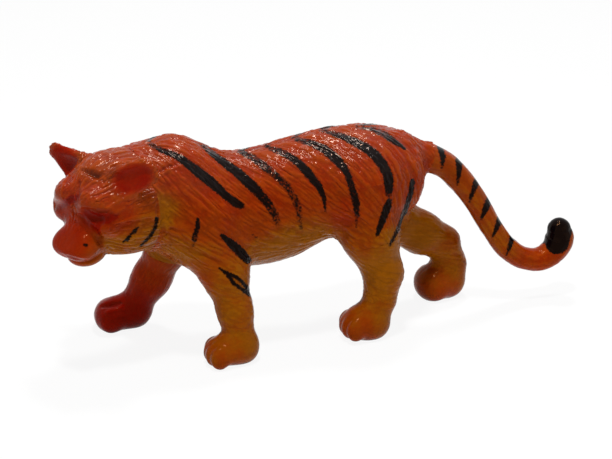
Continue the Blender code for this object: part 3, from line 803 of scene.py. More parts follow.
def new_group(name: str, inputs: Sequence[tuple[str, str]], outputs: Sequence[tuple[str, str]]) -> NodeSheet:
    """Empty shader group with named sockets.

    Args:
        name: Name of the group.
        inputs: Name and kind of each input, such as Float, Color or Vector.
        outputs: The same for each output.

    Returns:
        A sheet on the group's tree.
    """
    tree = bpy.data.node_groups.new(name, "ShaderNodeTree")
    for way, sockets in (("INPUT", inputs), ("OUTPUT", outputs)):
        for label, kind in sockets:
            tree.interface.new_socket(label, in_out=way, socket_type="NodeSocket" + kind)
    return NodeSheet(tree)


def tint_and_shade_group() -> bpy.types.NodeTree:
    """Colour of bare vinyl under sprayed tint.

    Gold turns to orange, to red-orange and to red as the tint grows, the grooves of the fur hold more tint,
    and a slow mottle breaks it up. Painted shade darkens the grooves, and the deep creases more, and a
    painted highlight lightens the ridges.
    """
    sheet = new_group(
        "sprayed_tint_and_shade",
        (("Tint", "Float"), ("Fur", "Float"), ("Gold", "Color"), ("Orange", "Color"), ("Flame", "Color"),
         ("Red", "Color")),
        (("Color", "Color"),))
    given = sheet.add("NodeGroupInput")
    place = sheet.add("TexCoord").outputs["Object"]
    mottle = sheet.add("TexNoise", Vector=place, Scale=260.0, Detail=3.0, Roughness=0.6).outputs[0]
    fine = sheet.add("TexNoise", Vector=place, Scale=1400.0, Detail=2.0).outputs[0]
    tint = sheet.math("ADD", given.outputs["Tint"], sheet.step(mottle, 0.3, 0.7, -0.07, 0.07))
    tint = sheet.math("ADD", tint, sheet.step(given.outputs["Fur"], -2.0, 2.0, 0.09, -0.09))
    colour = given.outputs["Gold"]
    for start, end, name in ((0.0, 0.38, "Orange"), (0.34, 0.7, "Flame"), (0.66, 1.05, "Red")):
        colour = sheet.mix(sheet.step(tint, start, end), colour, given.outputs[name])
    # Painted shade: darker in the fur's grooves and much darker in deep creases, lighter on ridges; a fine
    # noise varies the tone at random
    shade = sheet.math("MULTIPLY", sheet.step(given.outputs["Fur"], -1.8, 0.9, 0.72, 1.08),
                       sheet.step(fine, 0.25, 0.75, 0.94, 1.05))
    shade = sheet.math("MULTIPLY", shade, sheet.step(given.outputs["Fur"], -5.0, -1.7, 0.45, 1.0))
    colour = sheet.mix(1.0, colour, sheet.add("CombineColor", Red=shade, Green=shade, Blue=shade).outputs[0],
                       "MULTIPLY")
    sheet.tree.links.new(colour, sheet.add("NodeGroupOutput").inputs["Color"])
    return sheet.tree


def brushed_group() -> bpy.types.NodeTree:
    """Black brushed paint over a colour.

    The paint's edge follows the fur, thin paint lets the ridges through, and the
    paint has a gloss of its own.
    """
    sheet = new_group(
        "brushed_stripe",
        (("Under", "Color"), ("Paint", "Float"), ("Fur", "Float"), ("Black", "Color"),
         ("Vinyl Roughness", "Float"), ("Paint Roughness", "Float")),
        (("Color", "Color"), ("Roughness", "Float")))
    given = sheet.add("NodeGroupInput")
    place = sheet.add("TexCoord").outputs["Object"]
    grit = sheet.add("TexNoise", Vector=place, Scale=1700.0, Detail=2.0, Roughness=0.6).outputs[0]
    edge = sheet.math("ADD", given.outputs["Paint"], sheet.step(grit, 0.3, 0.7, -0.2, 0.2))
    edge = sheet.math("ADD", edge, sheet.step(given.outputs["Fur"], -2.0, 1.2, -0.16, 0.12))
    cover = sheet.step(edge, 0.16, 0.8)
    colour = sheet.mix(cover, given.outputs["Under"], given.outputs["Black"])
    rough = sheet.add("Mix", {"data_type": "FLOAT"}, n0=cover)
    sheet.tree.links.new(given.outputs["Vinyl Roughness"], rough.inputs[2])
    sheet.tree.links.new(given.outputs["Paint Roughness"], rough.inputs[3])
    smear = sheet.math("ADD", rough.outputs[0], sheet.step(grit, 0.3, 0.7, -0.05, 0.07))
    end = sheet.add("NodeGroupOutput")
    sheet.tree.links.new(colour, end.inputs["Color"])
    sheet.tree.links.new(smear, end.inputs["Roughness"])
    return sheet.tree


def grain_group() -> bpy.types.NodeTree:
    """Fine unevenness of a moulded skin: the height of two noises of unlike size."""
    sheet = new_group("moulded_grain", (("Fine", "Float"), ("Coarse", "Float")), (("Height", "Float"),))
    given = sheet.add("NodeGroupInput")
    place = sheet.add("TexCoord").outputs["Object"]
    fine = sheet.add("TexNoise", Vector=place, Scale=given.outputs["Fine"], Detail=3.0).outputs[0]
    coarse = sheet.add("TexNoise", Vector=place, Scale=given.outputs["Coarse"], Detail=2.0).outputs[0]
    height = sheet.math("ADD", sheet.math("MULTIPLY", fine, 0.4), coarse)
    sheet.tree.links.new(height, sheet.add("NodeGroupOutput").inputs["Height"])
    return sheet.tree


@dataclass(frozen=True)
class Vinyl:
    """A glossy vinyl finish with its sprayed colours, in linear light."""

    name: str
    gold: Point = (0.255, 0.074, 0.0014)
    orange: Point = (0.265, 0.034, 0.0010)
    flame: Point = (0.275, 0.0165, 0.0008)
    red: Point = (0.235, 0.0042, 0.0003)
    black: Point = (0.0015, 0.001, 0.0018)
    roughness: float = 0.16
    paint_roughness: float = 0.13
    clear_roughness: float = 0.22
    gloss: float = 0.075
    gloss_tint: Point = (1.0, 0.46, 0.19)
    refraction: float = 1.5
    bump_distance: float = 0.03
    bump_strength: float = 0.22
    grain_scales: tuple[float, float] = (2600.0, 700.0)

    def build(self, groups: dict[str, bpy.types.NodeTree]) -> bpy.types.Material:
        """Make the material.

        Args:
            groups: The shared node groups by name.

        Returns:
            The material.
        """
        material = bpy.data.materials.new(self.name)
        material.use_nodes = True
        shader = material.node_tree.nodes["Principled BSDF"]
        sheet = NodeSheet(material.node_tree)
        # The fur attribute, creases included, drives the painted shade of grooves and creases and the painted
        # highlight on ridges
        tint, fur, paint, clear = (sheet.add("Attribute", {"attribute_name": name}).outputs["Fac"]
                                   for name in ("tint", "fur", "paint", "polish"))
        under = sheet.add("Group", {"node_tree": groups["sprayed_tint_and_shade"]}, Tint=tint, Fur=fur,
                          Gold=(*self.gold, 1.0), Orange=(*self.orange, 1.0), Flame=(*self.flame, 1.0),
                          Red=(*self.red, 1.0)).outputs["Color"]
        brushed = sheet.add("Group", {"node_tree": groups["brushed_stripe"]}, Under=under, Paint=paint,
                            Fur=fur, Black=(*self.black, 1.0), Vinyl_Roughness=self.roughness,
                            Paint_Roughness=self.paint_roughness)
        fine, coarse = self.grain_scales
        height = sheet.add("Group", {"node_tree": groups["moulded_grain"]}, Fine=fine, Coarse=coarse)
        bump = sheet.add("Bump", Strength=self.bump_strength, Distance=self.bump_distance * MILLIMETRE,
                         Height=height.outputs["Height"])
        sheet.tree.links.new(brushed.outputs["Color"], shader.inputs["Base Color"])
        sheet.tree.links.new(brushed.outputs["Roughness"], shader.inputs["Roughness"])
        sheet.tree.links.new(bump.outputs[0], shader.inputs["Normal"])
        sheet.tree.links.new(clear, shader.inputs["Coat Weight"])
        for name, value in (("Coat Roughness", self.clear_roughness), ("IOR", self.refraction),
                            ("Specular IOR Level", self.gloss), ("Specular Tint", (*self.gloss_tint, 1.0))):
            shader.inputs[name].default_value = value
        return material


# Pieces


@dataclass(frozen=True)
class Cut:
    """Plane that ends a piece: a place on it, the way out of the piece, and its reach."""

    place: Array
    outward: Array
    reach: float


@dataclass
class Workshop:
    """What every piece is made with.

    The last three are metres: how near to a cut plane a vertex counts as on it, how
    far past it one has to be to be removed, and how close rim vertices are joined.
    """

    shift: Array
    levels: int = 2
    snap: float = 1e-8
    past: float = 1e-7
    weld: float = 1e-6

    def skin(self, form: Form, step: float, coat: "Coat", creases: Sequence[Crease] = (),
             mirrored: bool = False) -> tuple[Skin, Array]:
        """Fine skin of a form with its moulded fur and creases.

        Args:
            form: The form.
            step: Lattice step before the splits.
            coat: How the fur lies and how deep it is.
            creases: Creases pushed in and given painted shade where they show in the photograph; ridges are
                pushed out and given a painted highlight.
            mirrored: Whether the animal's right side has the creases too.

        Returns:
            The skin, and how high each point stands for the colour, at a spread of 1: the fur's height with
            each crease's painted shade and each ridge's painted highlight added.
        """
        skin = Skin.of_form(form, step)
        for level in range(self.levels):
            skin.refine(form, step / 2 ** (level + 1))
        out = skin.settle(form, step)
        fur = coat.strands(skin.points, out)
        shade = coat.shade(skin.points, fur)
        push = coat.relief(skin.points, fur)
        pixels, facing = seen(skin.points, out, mirrored)
        # Each crease is pushed in and darkened with painted shade; a ridge is pushed out and lightened with a
        # painted highlight
        for crease in creases:
            depth = facing * crease.depth(pixels)
            push -= depth
            shade -= CREASE_SHADE * depth
        skin.points = skin.points + push[:, None] * out
        return skin, shade

    def mesh(self, name: str, skin: Skin, fur: Array) -> bpy.types.Object:
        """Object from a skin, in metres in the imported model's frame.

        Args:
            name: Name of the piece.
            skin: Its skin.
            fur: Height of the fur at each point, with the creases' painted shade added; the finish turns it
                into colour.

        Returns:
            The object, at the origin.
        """
        data = bpy.data.meshes.new(name)
        data.vertices.add(len(skin.points))
        data.vertices.foreach_set("co", ((skin.points + self.shift) * MILLIMETRE).astype(np.float32).ravel())
        data.loops.add(skin.quads.size)
        data.loops.foreach_set("vertex_index", skin.quads.astype(np.int32).ravel())
        data.polygons.add(len(skin.quads))
        data.polygons.foreach_set("loop_start", np.arange(0, skin.quads.size, 4, dtype=np.int32))
        data.update(calc_edges=True)
        data.attributes.new("fur", "FLOAT", "POINT").data.foreach_set("value", fur.astype(np.float32))
        obj = bpy.data.objects.new(name, data)
        bpy.context.scene.collection.objects.link(obj)
        return obj

    def trim(self, obj: bpy.types.Object, cuts: Sequence[Cut]) -> None:
        """Cut a piece with planes, close what is open and turn its faces outwards.

        Only the faces within a cut's reach of its place are cut, and what lies
        past the plane there is removed.

        Args:
            obj: The piece.
            cuts: Its cuts.
        """
        mesh = bmesh.new()
        mesh.from_mesh(obj.data)
        for cut in cuts:
            place = Vector((cut.place + self.shift) * MILLIMETRE)
            normal = Vector(cut.outward)
            reach = cut.reach * MILLIMETRE
            faces = [face for face in mesh.faces if (face.verts[0].co - place).length < reach]
            edges = {edge for face in faces for edge in face.edges}
            verts = {vert for edge in edges for vert in edge.verts}
            result = bmesh.ops.bisect_plane(mesh, geom=[*verts, *edges, *faces], dist=self.snap,
                                            plane_co=place, plane_no=normal)
            rim = [item for item in result["geom_cut"] if isinstance(item, bmesh.types.BMEdge)]
            past = [vert for vert in mesh.verts
                    if (vert.co - place).length < reach and (vert.co - place).dot(normal) > self.past]
            bmesh.ops.delete(mesh, geom=past, context="VERTS")
            ends = {vert for edge in rim if edge.is_valid for vert in edge.verts}
            bmesh.ops.remove_doubles(mesh, verts=list(ends), dist=self.weld)
            rim = [edge for edge in rim if edge.is_valid and edge.is_boundary]
            bmesh.ops.contextual_create(mesh, geom=rim)
        bmesh.ops.holes_fill(mesh, edges=[edge for edge in mesh.edges if edge.is_boundary])
        bmesh.ops.recalc_face_normals(mesh, faces=mesh.faces)
        mesh.to_mesh(obj.data)
        mesh.free()

    def points_of(self, obj: bpy.types.Object) -> tuple[Array, Array]:
        """Places and outward directions of a piece's vertices, in the figure's frame."""
        count = len(obj.data.vertices)
        places, out = np.zeros(count * 3, np.float32), np.zeros(count * 3, np.float32)
        obj.data.vertices.foreach_get("co", places)
        obj.data.vertex_normals.foreach_get("vector", out)
        places = places.reshape(-1, 3).astype(float) / MILLIMETRE - self.shift
        return places, out.reshape(-1, 3).astype(float)

    def dress(self, obj: bpy.types.Object, material: bpy.types.Material, tint: Form,
              strokes: Sequence[Stroke], mirrored: bool, glazes: Sequence[Glaze] = (),
              clear: Form | None = None, smooth_angle: float = 50.0) -> None:
        """Give a piece its tint, its brush strokes and its finish.

        Args:
            obj: The piece.
            material: Its finish.
            tint: Tint at each place.
            strokes: Brush strokes on it.
            mirrored: Whether the strokes show on the animal's right side too.
            glazes: Dabs of dark red on it.
            clear: Share of clear gloss, or none for the figure's own.
            smooth_angle: Edges sharper than this are shaded sharp.
        """
        places, out = self.points_of(obj)
        pixels, facing = seen(places, out, mirrored)
        coats = [stroke.paint(pixels) * (1.0 if isinstance(stroke, Dip) else facing) for stroke in strokes]
        paint = np.max([np.zeros(len(places)), *coats], axis=0)
        red = tint(places)
        for glaze in glazes:
            red += facing * glaze.share(pixels) * (GLAZE_TINT - red)
        for name, values in (("tint", red), ("paint", paint), ("polish", (clear or polish)(places))):
            layer = obj.data.attributes.new(name, "FLOAT", "POINT")
            layer.data.foreach_set("value", values.astype(np.float32))
        obj.data.shade_smooth()
        obj.data.set_sharp_from_angle(angle=math.radians(smooth_angle))
        obj.data.materials.append(material)


def seen(places: Array, out: Array, mirrored: bool) -> tuple[Array, Array]:
    """Where places show in the photograph, along its line of sight.

    Args:
        places: Places on the figure.
        out: Outward direction at each place.
        mirrored: Whether the right side shows the same way, as seen in a mirror.

    Returns:
        Columns and rows, and how well each place faces the camera, from 0 to 1.
    """
    flip = np.where((places[:, 1:2] > 0) & mirrored, np.array((1.0, -1.0, 1.0)), 1.0)
    towards = (out * flip) @ CAMERA.axes()[2]
    return CAMERA.pixels(places * flip), ramp(towards, FACES_AWAY, FACES_CAMERA)


@dataclass
class Coat:
    """How the moulded fur of a piece lies, and how deep it is."""

    flow: Callable[[Array], Array]
    depth: Form
    strand: float = 0.72
    strand_reach: float = 3.2
    lock: float = 1.9
    lock_reach: float = 5.0
    lock_share: float = 0.4
    groove: float = 0.04
    ridge_top: float = 1.4
    boldness: float = 1.0

    def strands(self, points: Array, out: Array) -> Array:
        """Height of the fur: strands with narrow grooves between them, on slower locks.

        A strand stands as high as the size of a combed noise, rounded where it is
        small, so that a groove runs along each line on which the noise is 0.

        Args:
            points: Places on the skin.
            out: Outward direction there.

        Returns:
            Height at a spread of about 1.
        """
        flow = self.flow(points)
        flow = flow - (flow * out).sum(1, keepdims=True) * out
        flow /= np.maximum(np.linalg.norm(flow, axis=1, keepdims=True), 1e-6)
        fine = combed(points, flow, self.strand, self.strand_reach, STRAND_SEED)
        slow = combed(points, flow, self.lock, self.lock_reach, LOCK_SEED)
        ridged = np.sqrt(fine * fine + self.groove)
        ridged = (ridged - ridged.mean()) / max(float(ridged.std()), TINY)
        return (np.minimum(ridged, self.ridge_top) + self.lock_share * slow) / (1.0 + self.lock_share)

    def relief(self, points: Array, fur: Array) -> Array:
        """Height of the surface over the form: the fur times its depth."""
        return fur * self.depth(points)

    def shade(self, points: Array, fur: Array) -> Array:
        """Height that the colour follows, for painted shade in the grooves and a painted highlight on the
        ridges: the fur, less where it is shallow.
        """
        depth = self.depth(points)
        return self.boldness * fur * depth / depth.max()


# The neck's seam and axis, and the fillets where forms meet
NECK_SEAM = np.array((-42.0, -1.0, 41.5))
NECK_AXIS = heading(15.0, 3.0)
NECK_RADIUS = 11.8
NECK_ROOT = 9.0
NAPE_SHARE = 0.4
BLEND_LIMB = 4.5
BLEND_JOINT = 3.0
BLEND_ANKLE = 2.2
BLEND_PAW = 2.0
BLEND_NECK = 5.0
BLEND_TAIL = 3.0
BLEND_ROOT = 1.0
BLEND_HEAD = 3.0
BLEND_SKULL = 3.5
BLEND_FACE = 2.0
BLEND_MUZZLE = 1.6
BLEND_RUFF = 1.1
BLEND_CREASE = 0.5
SEAM_MARGIN = 1.6


def neck_form(points: Array) -> Array:
    """Round neck that runs from inside the trunk into the head."""
    root = NECK_SEAM - NECK_ROOT * NECK_AXIS
    nape = NECK_SEAM + NAPE_SHARE * NECK_ROOT * NECK_AXIS
    return bar(points, tuple(root), tuple(nape), (NECK_RADIUS, NECK_RADIUS))


@dataclass
class Leg:
    """One leg: joints from the shoulder or hip down, each a place and a radius.

    The seam is cut up to its reach past the leg's own radius there.
    """

    name: str
    joints: tuple[tuple[Point, float], ...]
    paw: Point
    heel: Point
    mists: tuple[Mist, ...] = ()
    strokes: tuple[Stroke, ...] = ()
    comb: Point = (1.0, 0.0, -0.25)
    squash: float = 0.88
    seam_drop: float = 2.0
    paw_radii: Point = (5.2, 4.5, 4.0)
    heel_radii: Point = (4.0, 3.7, 4.0)
    toe_radii: Point = (2.4, 1.5, 2.9)
    toe_pitch: float = 2.2
    toe_reach: float = 3.6
    toe_fan: float = 0.45
    toe_drop: float = 0.7
    toe_blend: float = 1.0
    step: float = 0.8
    sway: float = 0.08
    fur_depth: float = 0.06
    boldness: float = 0.5
    seam_reach: float = 6.0
    sole_reach: float = 16.0
    creases: tuple[Crease, ...] = ()

    def bars(self, points: Array, count: int | None = None) -> Array:
        """Tapered bars from joint to joint, faired into each other."""
        joints = self.joints[:count]
        forms = [bar(points, a, b, (ra, rb), self.squash) for (a, ra), (b, rb) in zip(joints, joints[1:])]
        return union(forms, BLEND_JOINT)

    def seam(self) -> tuple[Array, Array]:
        """Middle of the glued seam, on the mitre of the second joint, and the way down."""
        above, here, below = (np.array(place) for place, _ in self.joints[:3])
        down = unit(unit(here - above) + unit(below - here))
        return here + self.seam_drop * down, down

    def foot(self, points: Array) -> Array:
        """Heel, paw and four toes."""
        x, y, z = self.paw
        heel, paw = egg(points, self.heel, self.heel_radii), egg(points, self.paw, self.paw_radii)
        form = smooth_min(heel, paw, BLEND_PAW)
        for toe in (-1.5, -0.5, 0.5, 1.5):
            reach = self.toe_reach - self.toe_fan * abs(toe) ** 1.6
            centre = (x - reach, y + self.toe_pitch * toe, z - self.toe_drop)
            form = smooth_min(form, egg(points, centre, self.toe_radii), self.toe_blend)
        return form

    def form(self, points: Array) -> Array:
        """The whole leg."""
        return smooth_min(self.bars(points), self.foot(points), BLEND_ANKLE)

    def piece_form(self, points: Array, trunk: Form) -> Array:
        """The leg with the fillet that it shares with the trunk, ended past its seam and its sole."""
        own = self.form(points)
        form = np.maximum(smooth_min(own, trunk(points), BLEND_LIMB), own - BLEND_LIMB / 2)
        place, down = self.seam()
        form = np.maximum(form, -((points - place) @ down) - SEAM_MARGIN)
        return np.maximum(form, -points[:, 2] - SEAM_MARGIN)

    def flow(self, points: Array) -> Array:
        """Fur that runs as the leg's comb says, a little unevenly."""
        sway = self.sway * noise(points, 6.0, SWAY_SEED)[:, None] * np.array((0.0, 0.0, 1.0))
        return np.broadcast_to(unit(self.comb), points.shape) + sway

    def depth(self, points: Array) -> Array:
        """Depth of the fur: less on the paw."""
        return self.fur_depth * (0.25 + 0.75 * ramp(points[:, 2], 6.0, 11.0))

    def tint(self, points: Array) -> Array:
        """Sprayed tint: the figure's own, with this leg's puffs over it."""
        return sprayed(points, body_tint(points), self.mists)

    def build(self, shop: Workshop, trunk: Form, finish: bpy.types.Material) -> bpy.types.Object:
        """Make the leg.

        Args:
            shop: What it is made with.
            trunk: The trunk's form.
            finish: Its material.

        Returns:
            The piece.
        """
        coat = Coat(self.flow, self.depth, boldness=self.boldness)
        skin, fur = shop.skin(lambda points: self.piece_form(points, trunk), self.step, coat, self.creases)
        obj = shop.mesh(self.name + "_skin", skin, fur)
        place, down = self.seam()
        top = Cut(place + GLUED_GAP / 2 * down, -down, self.joints[1][1] + self.seam_reach)
        sole = Cut(np.array((*self.paw[:2], 0.0)), np.array((0.0, 0.0, -1.0)), self.sole_reach)
        shop.trim(obj, (top, sole))
        shop.dress(obj, finish, self.tint, self.strokes, False)
        return obj


@dataclass
class Trunk:
    """The trunk in two half shells: a loft through stations, with neck, shoulders, haunches and tail root.

    A clear pair is the radius and the length of the room that is kept free past a
    seam, a reach how far from its middle the seam is cut; a leg's are wider than its
    own radius by that much.
    """

    legs: tuple[Leg, ...]
    stations: tuple[tuple[float, float, float, float], ...] = (
        (-38.0, 51.8, 27.0, 9.5),
        (-31.0, 53.6, 22.0, 12.0),
        (-25.0, 51.4, 20.5, 12.4),
        (-17.0, 49.5, 20.1, 12.4),
        (-4.0, 51.2, 20.9, 12.0),
        (8.0, 53.1, 26.0, 11.5),
        (17.0, 52.7, 28.4, 11.2),
        (26.0, 50.6, 29.6, 10.0),
    )
    chest_cap: float = 6.0
    rump_cap: float = 5.6
    step: float = 0.92
    fur_depth: float = 0.17
    head_clear: tuple[float, float] = (18.0, 60.0)
    tail_clear: tuple[float, float] = (9.0, 30.0)
    leg_clear: tuple[float, float] = (3.5, 45.0)
    neck_reach: float = 22.0
    tail_reach: float = 8.0
    leg_reach: float = 4.5
    tail_path: tuple[Point, ...] = ()
    head: "Head | None" = None

    def loft(self, points: Array) -> Array:
        """Oval sections through the stations (x, back, belly, half width), with rounded ends."""
        xs, tops, bellies, halves = np.array(self.stations).T
        x = np.clip(points[:, 0], xs[0], xs[-1])
        top = through_stations(x, xs, tops)
        belly = through_stations(x, xs, bellies)
        past = points[:, 0] - x
        cap = np.where(past < 0, self.chest_cap, self.rump_cap)
        radii = np.stack((cap, through_stations(x, xs, halves), (top - belly) / 2), 1)
        return oval(np.stack((past, points[:, 1], points[:, 2] - (top + belly) / 2), 1), radii)

    def tail_root(self, points: Array) -> Array:
        """First stretch of the tail, which the rump runs into."""
        (xa, za, ra), (xb, zb, rb), (xc, zc, rc) = self.tail_path[:3]
        inner = bar(points, (xa, 0.0, za), (xb, 0.0, zb), (ra, rb))
        return smooth_min(inner, bar(points, (xb, 0.0, zb), (xc, 0.0, zc), (rb, rc)), BLEND_ROOT)

    def with_neck(self, points: Array) -> Array:
        """The loft faired into the neck."""
        return smooth_min(self.loft(points), neck_form(points), BLEND_NECK)

    def form(self, points: Array) -> Array:
        """The trunk's whole form, faired into everything that it meets."""
        form = self.with_neck(points)
        for leg in self.legs:
            form = smooth_min(form, leg.bars(points, 3), BLEND_LIMB)
        form = smooth_min(form, self.tail_root(points), BLEND_TAIL)
        return smooth_min(form, self.head.skull(points), BLEND_HEAD)

    def tail_seam(self) -> tuple[Array, Array]:
        """Middle of the tail's seam and the way out along the tail."""
        (xa, za, _), (xb, zb, _), (xc, zc, _) = self.tail_path[:3]
        return np.array((xb, 0.0, zb)), unit((xc - xa, 0.0, zc - za))

    def piece_form(self, points: Array) -> Array:
        """The form, ended a little past each seam."""
        seams = [(NECK_SEAM, NECK_AXIS, *self.head_clear), (*self.tail_seam(), *self.tail_clear)]
        wider, deep = self.leg_clear
        seams += [(*leg.seam(), leg.joints[1][1] + wider, deep) for leg in self.legs]
        form = self.form(points)
        for place, way, radius, length in seams:
            form = np.maximum(form, -drum(points, place, way, radius, SEAM_MARGIN, length))
        return form

    def flow(self, points: Array) -> Array:
        """Fur that runs back and down, steeper on the haunches, level on the belly, out from the spine."""
        x, y, z = points.T
        steep = 36.0 + 20.0 * ramp(x, 0.0, 18.0) - 22.0 * fall(z, 22.0, 34.0)
        angle = np.radians(steep + 9.0 * noise(points, 7.0, SWAY_SEED))
        return np.stack((np.cos(angle), 0.5 * np.tanh(y / 3.0), -np.sin(angle)), 1)

    def depth(self, points: Array) -> Array:
        """Depth of the fur: less under the belly."""
        return self.fur_depth * (0.45 + 0.55 * ramp(points[:, 2], 22.0, 32.0))

    def build(self, shop: Workshop, finish: bpy.types.Material) -> list[bpy.types.Object]:
        """Make both half shells.

        Args:
            shop: What they are made with.
            finish: Their material.

        Returns:
            The left and the right half.
        """
        coat = Coat(self.flow, self.depth)
        skin, fur = shop.skin(self.piece_form, self.step, coat, TRUNK_CREASES, True)
        whole = shop.mesh("torso_left_skin", skin, fur)
        seams = [(NECK_SEAM, NECK_AXIS, self.neck_reach), (*self.tail_seam(), self.tail_reach)]
        seams += [(*leg.seam(), leg.joints[1][1] + self.leg_reach) for leg in self.legs]
        shop.trim(whole, [Cut(place - GLUED_GAP / 2 * way, way, reach) for place, way, reach in seams])
        right = whole.copy()
        right.data = whole.data.copy()
        right.name = "torso_right_skin"
        bpy.context.scene.collection.objects.link(right)
        for half, side in ((whole, Side.LEFT), (right, Side.RIGHT)):
            way = np.array((0.0, -float(side.value), 0.0))
            shop.trim(half, (Cut(-GLUED_GAP / 2 * way, way, math.inf),))
            shop.dress(half, finish, body_tint, (*BODY_STROKES, *LEG_STROKES), True)
        return [whole, right]


@dataclass(frozen=True)
class Mass:
    """Rounded mass of the head: where it is and its half sizes."""

    centre: Point
    radii: Point

    def form(self, q: Array) -> Array:
        """Distance to it in the head's frame."""
        return egg(q, self.centre, self.radii)


@dataclass(frozen=True)
class Ear:
    """An ear: a flattened bar with a cup in its face, on one side of the head."""

    side: Side
    root: Point
    tip: Point
    facing: Point
    radii: tuple[float, float]
    flatness: float = 0.44
    rim: float = 1.15
    cup: float = 1.75
    cup_down: float = 0.0
    cup_start: float = 0.5
    cup_edge: float = 0.8
    cup_core: float = 0.62

    def form(self, q: Array) -> Array:
        """Distance to the ear in the head's frame.

        Args:
            q: Places in the head's frame.

        Returns:
            The lobe with the cup taken out of it.
        """
        e, length = self.own(q)
        lobe = bar(e, (0.0, 0.0, 0.0), (0.0, 0.0, length), self.radii, self.flatness)
        inner = (self.radii[0] - self.rim, self.radii[1] - self.rim)
        start = (self.cup_down, self.cup, self.cup_start)
        cup = bar(e, start, (self.cup_down, self.cup, length), inner, self.flatness)
        return smooth_max(lobe, -cup, self.cup_edge)

    def own(self, q: Array) -> tuple[Array, float]:
        """Places in the ear's own frame (across, out of its face, along), and its length."""
        root = np.array(self.root)
        along = unit(np.array(self.tip) - root)
        face = unit(np.array(self.facing) - (np.array(self.facing) @ along) * along)
        mirrored = q * np.array((1.0, -float(self.side.value), 1.0))
        e = (mirrored - root) @ np.stack((np.cross(along, face), face, along), 1)
        return e, float(np.linalg.norm(np.array(self.tip) - root))

    def inside(self, q: Array) -> Array:
        """Share from 0 to 1 by which a place lies in the ear's cup."""
        e, length = self.own(q)
        middle = length / 2
        across = np.hypot(e[:, 0] / self.radii[0], (e[:, 2] - middle) / (middle + self.radii[1]))
        return fall(across, self.cup_core, 1.0) * ramp(e[:, 1], -0.9, -0.1) * fall(e[:, 1], 4.0, 5.0)


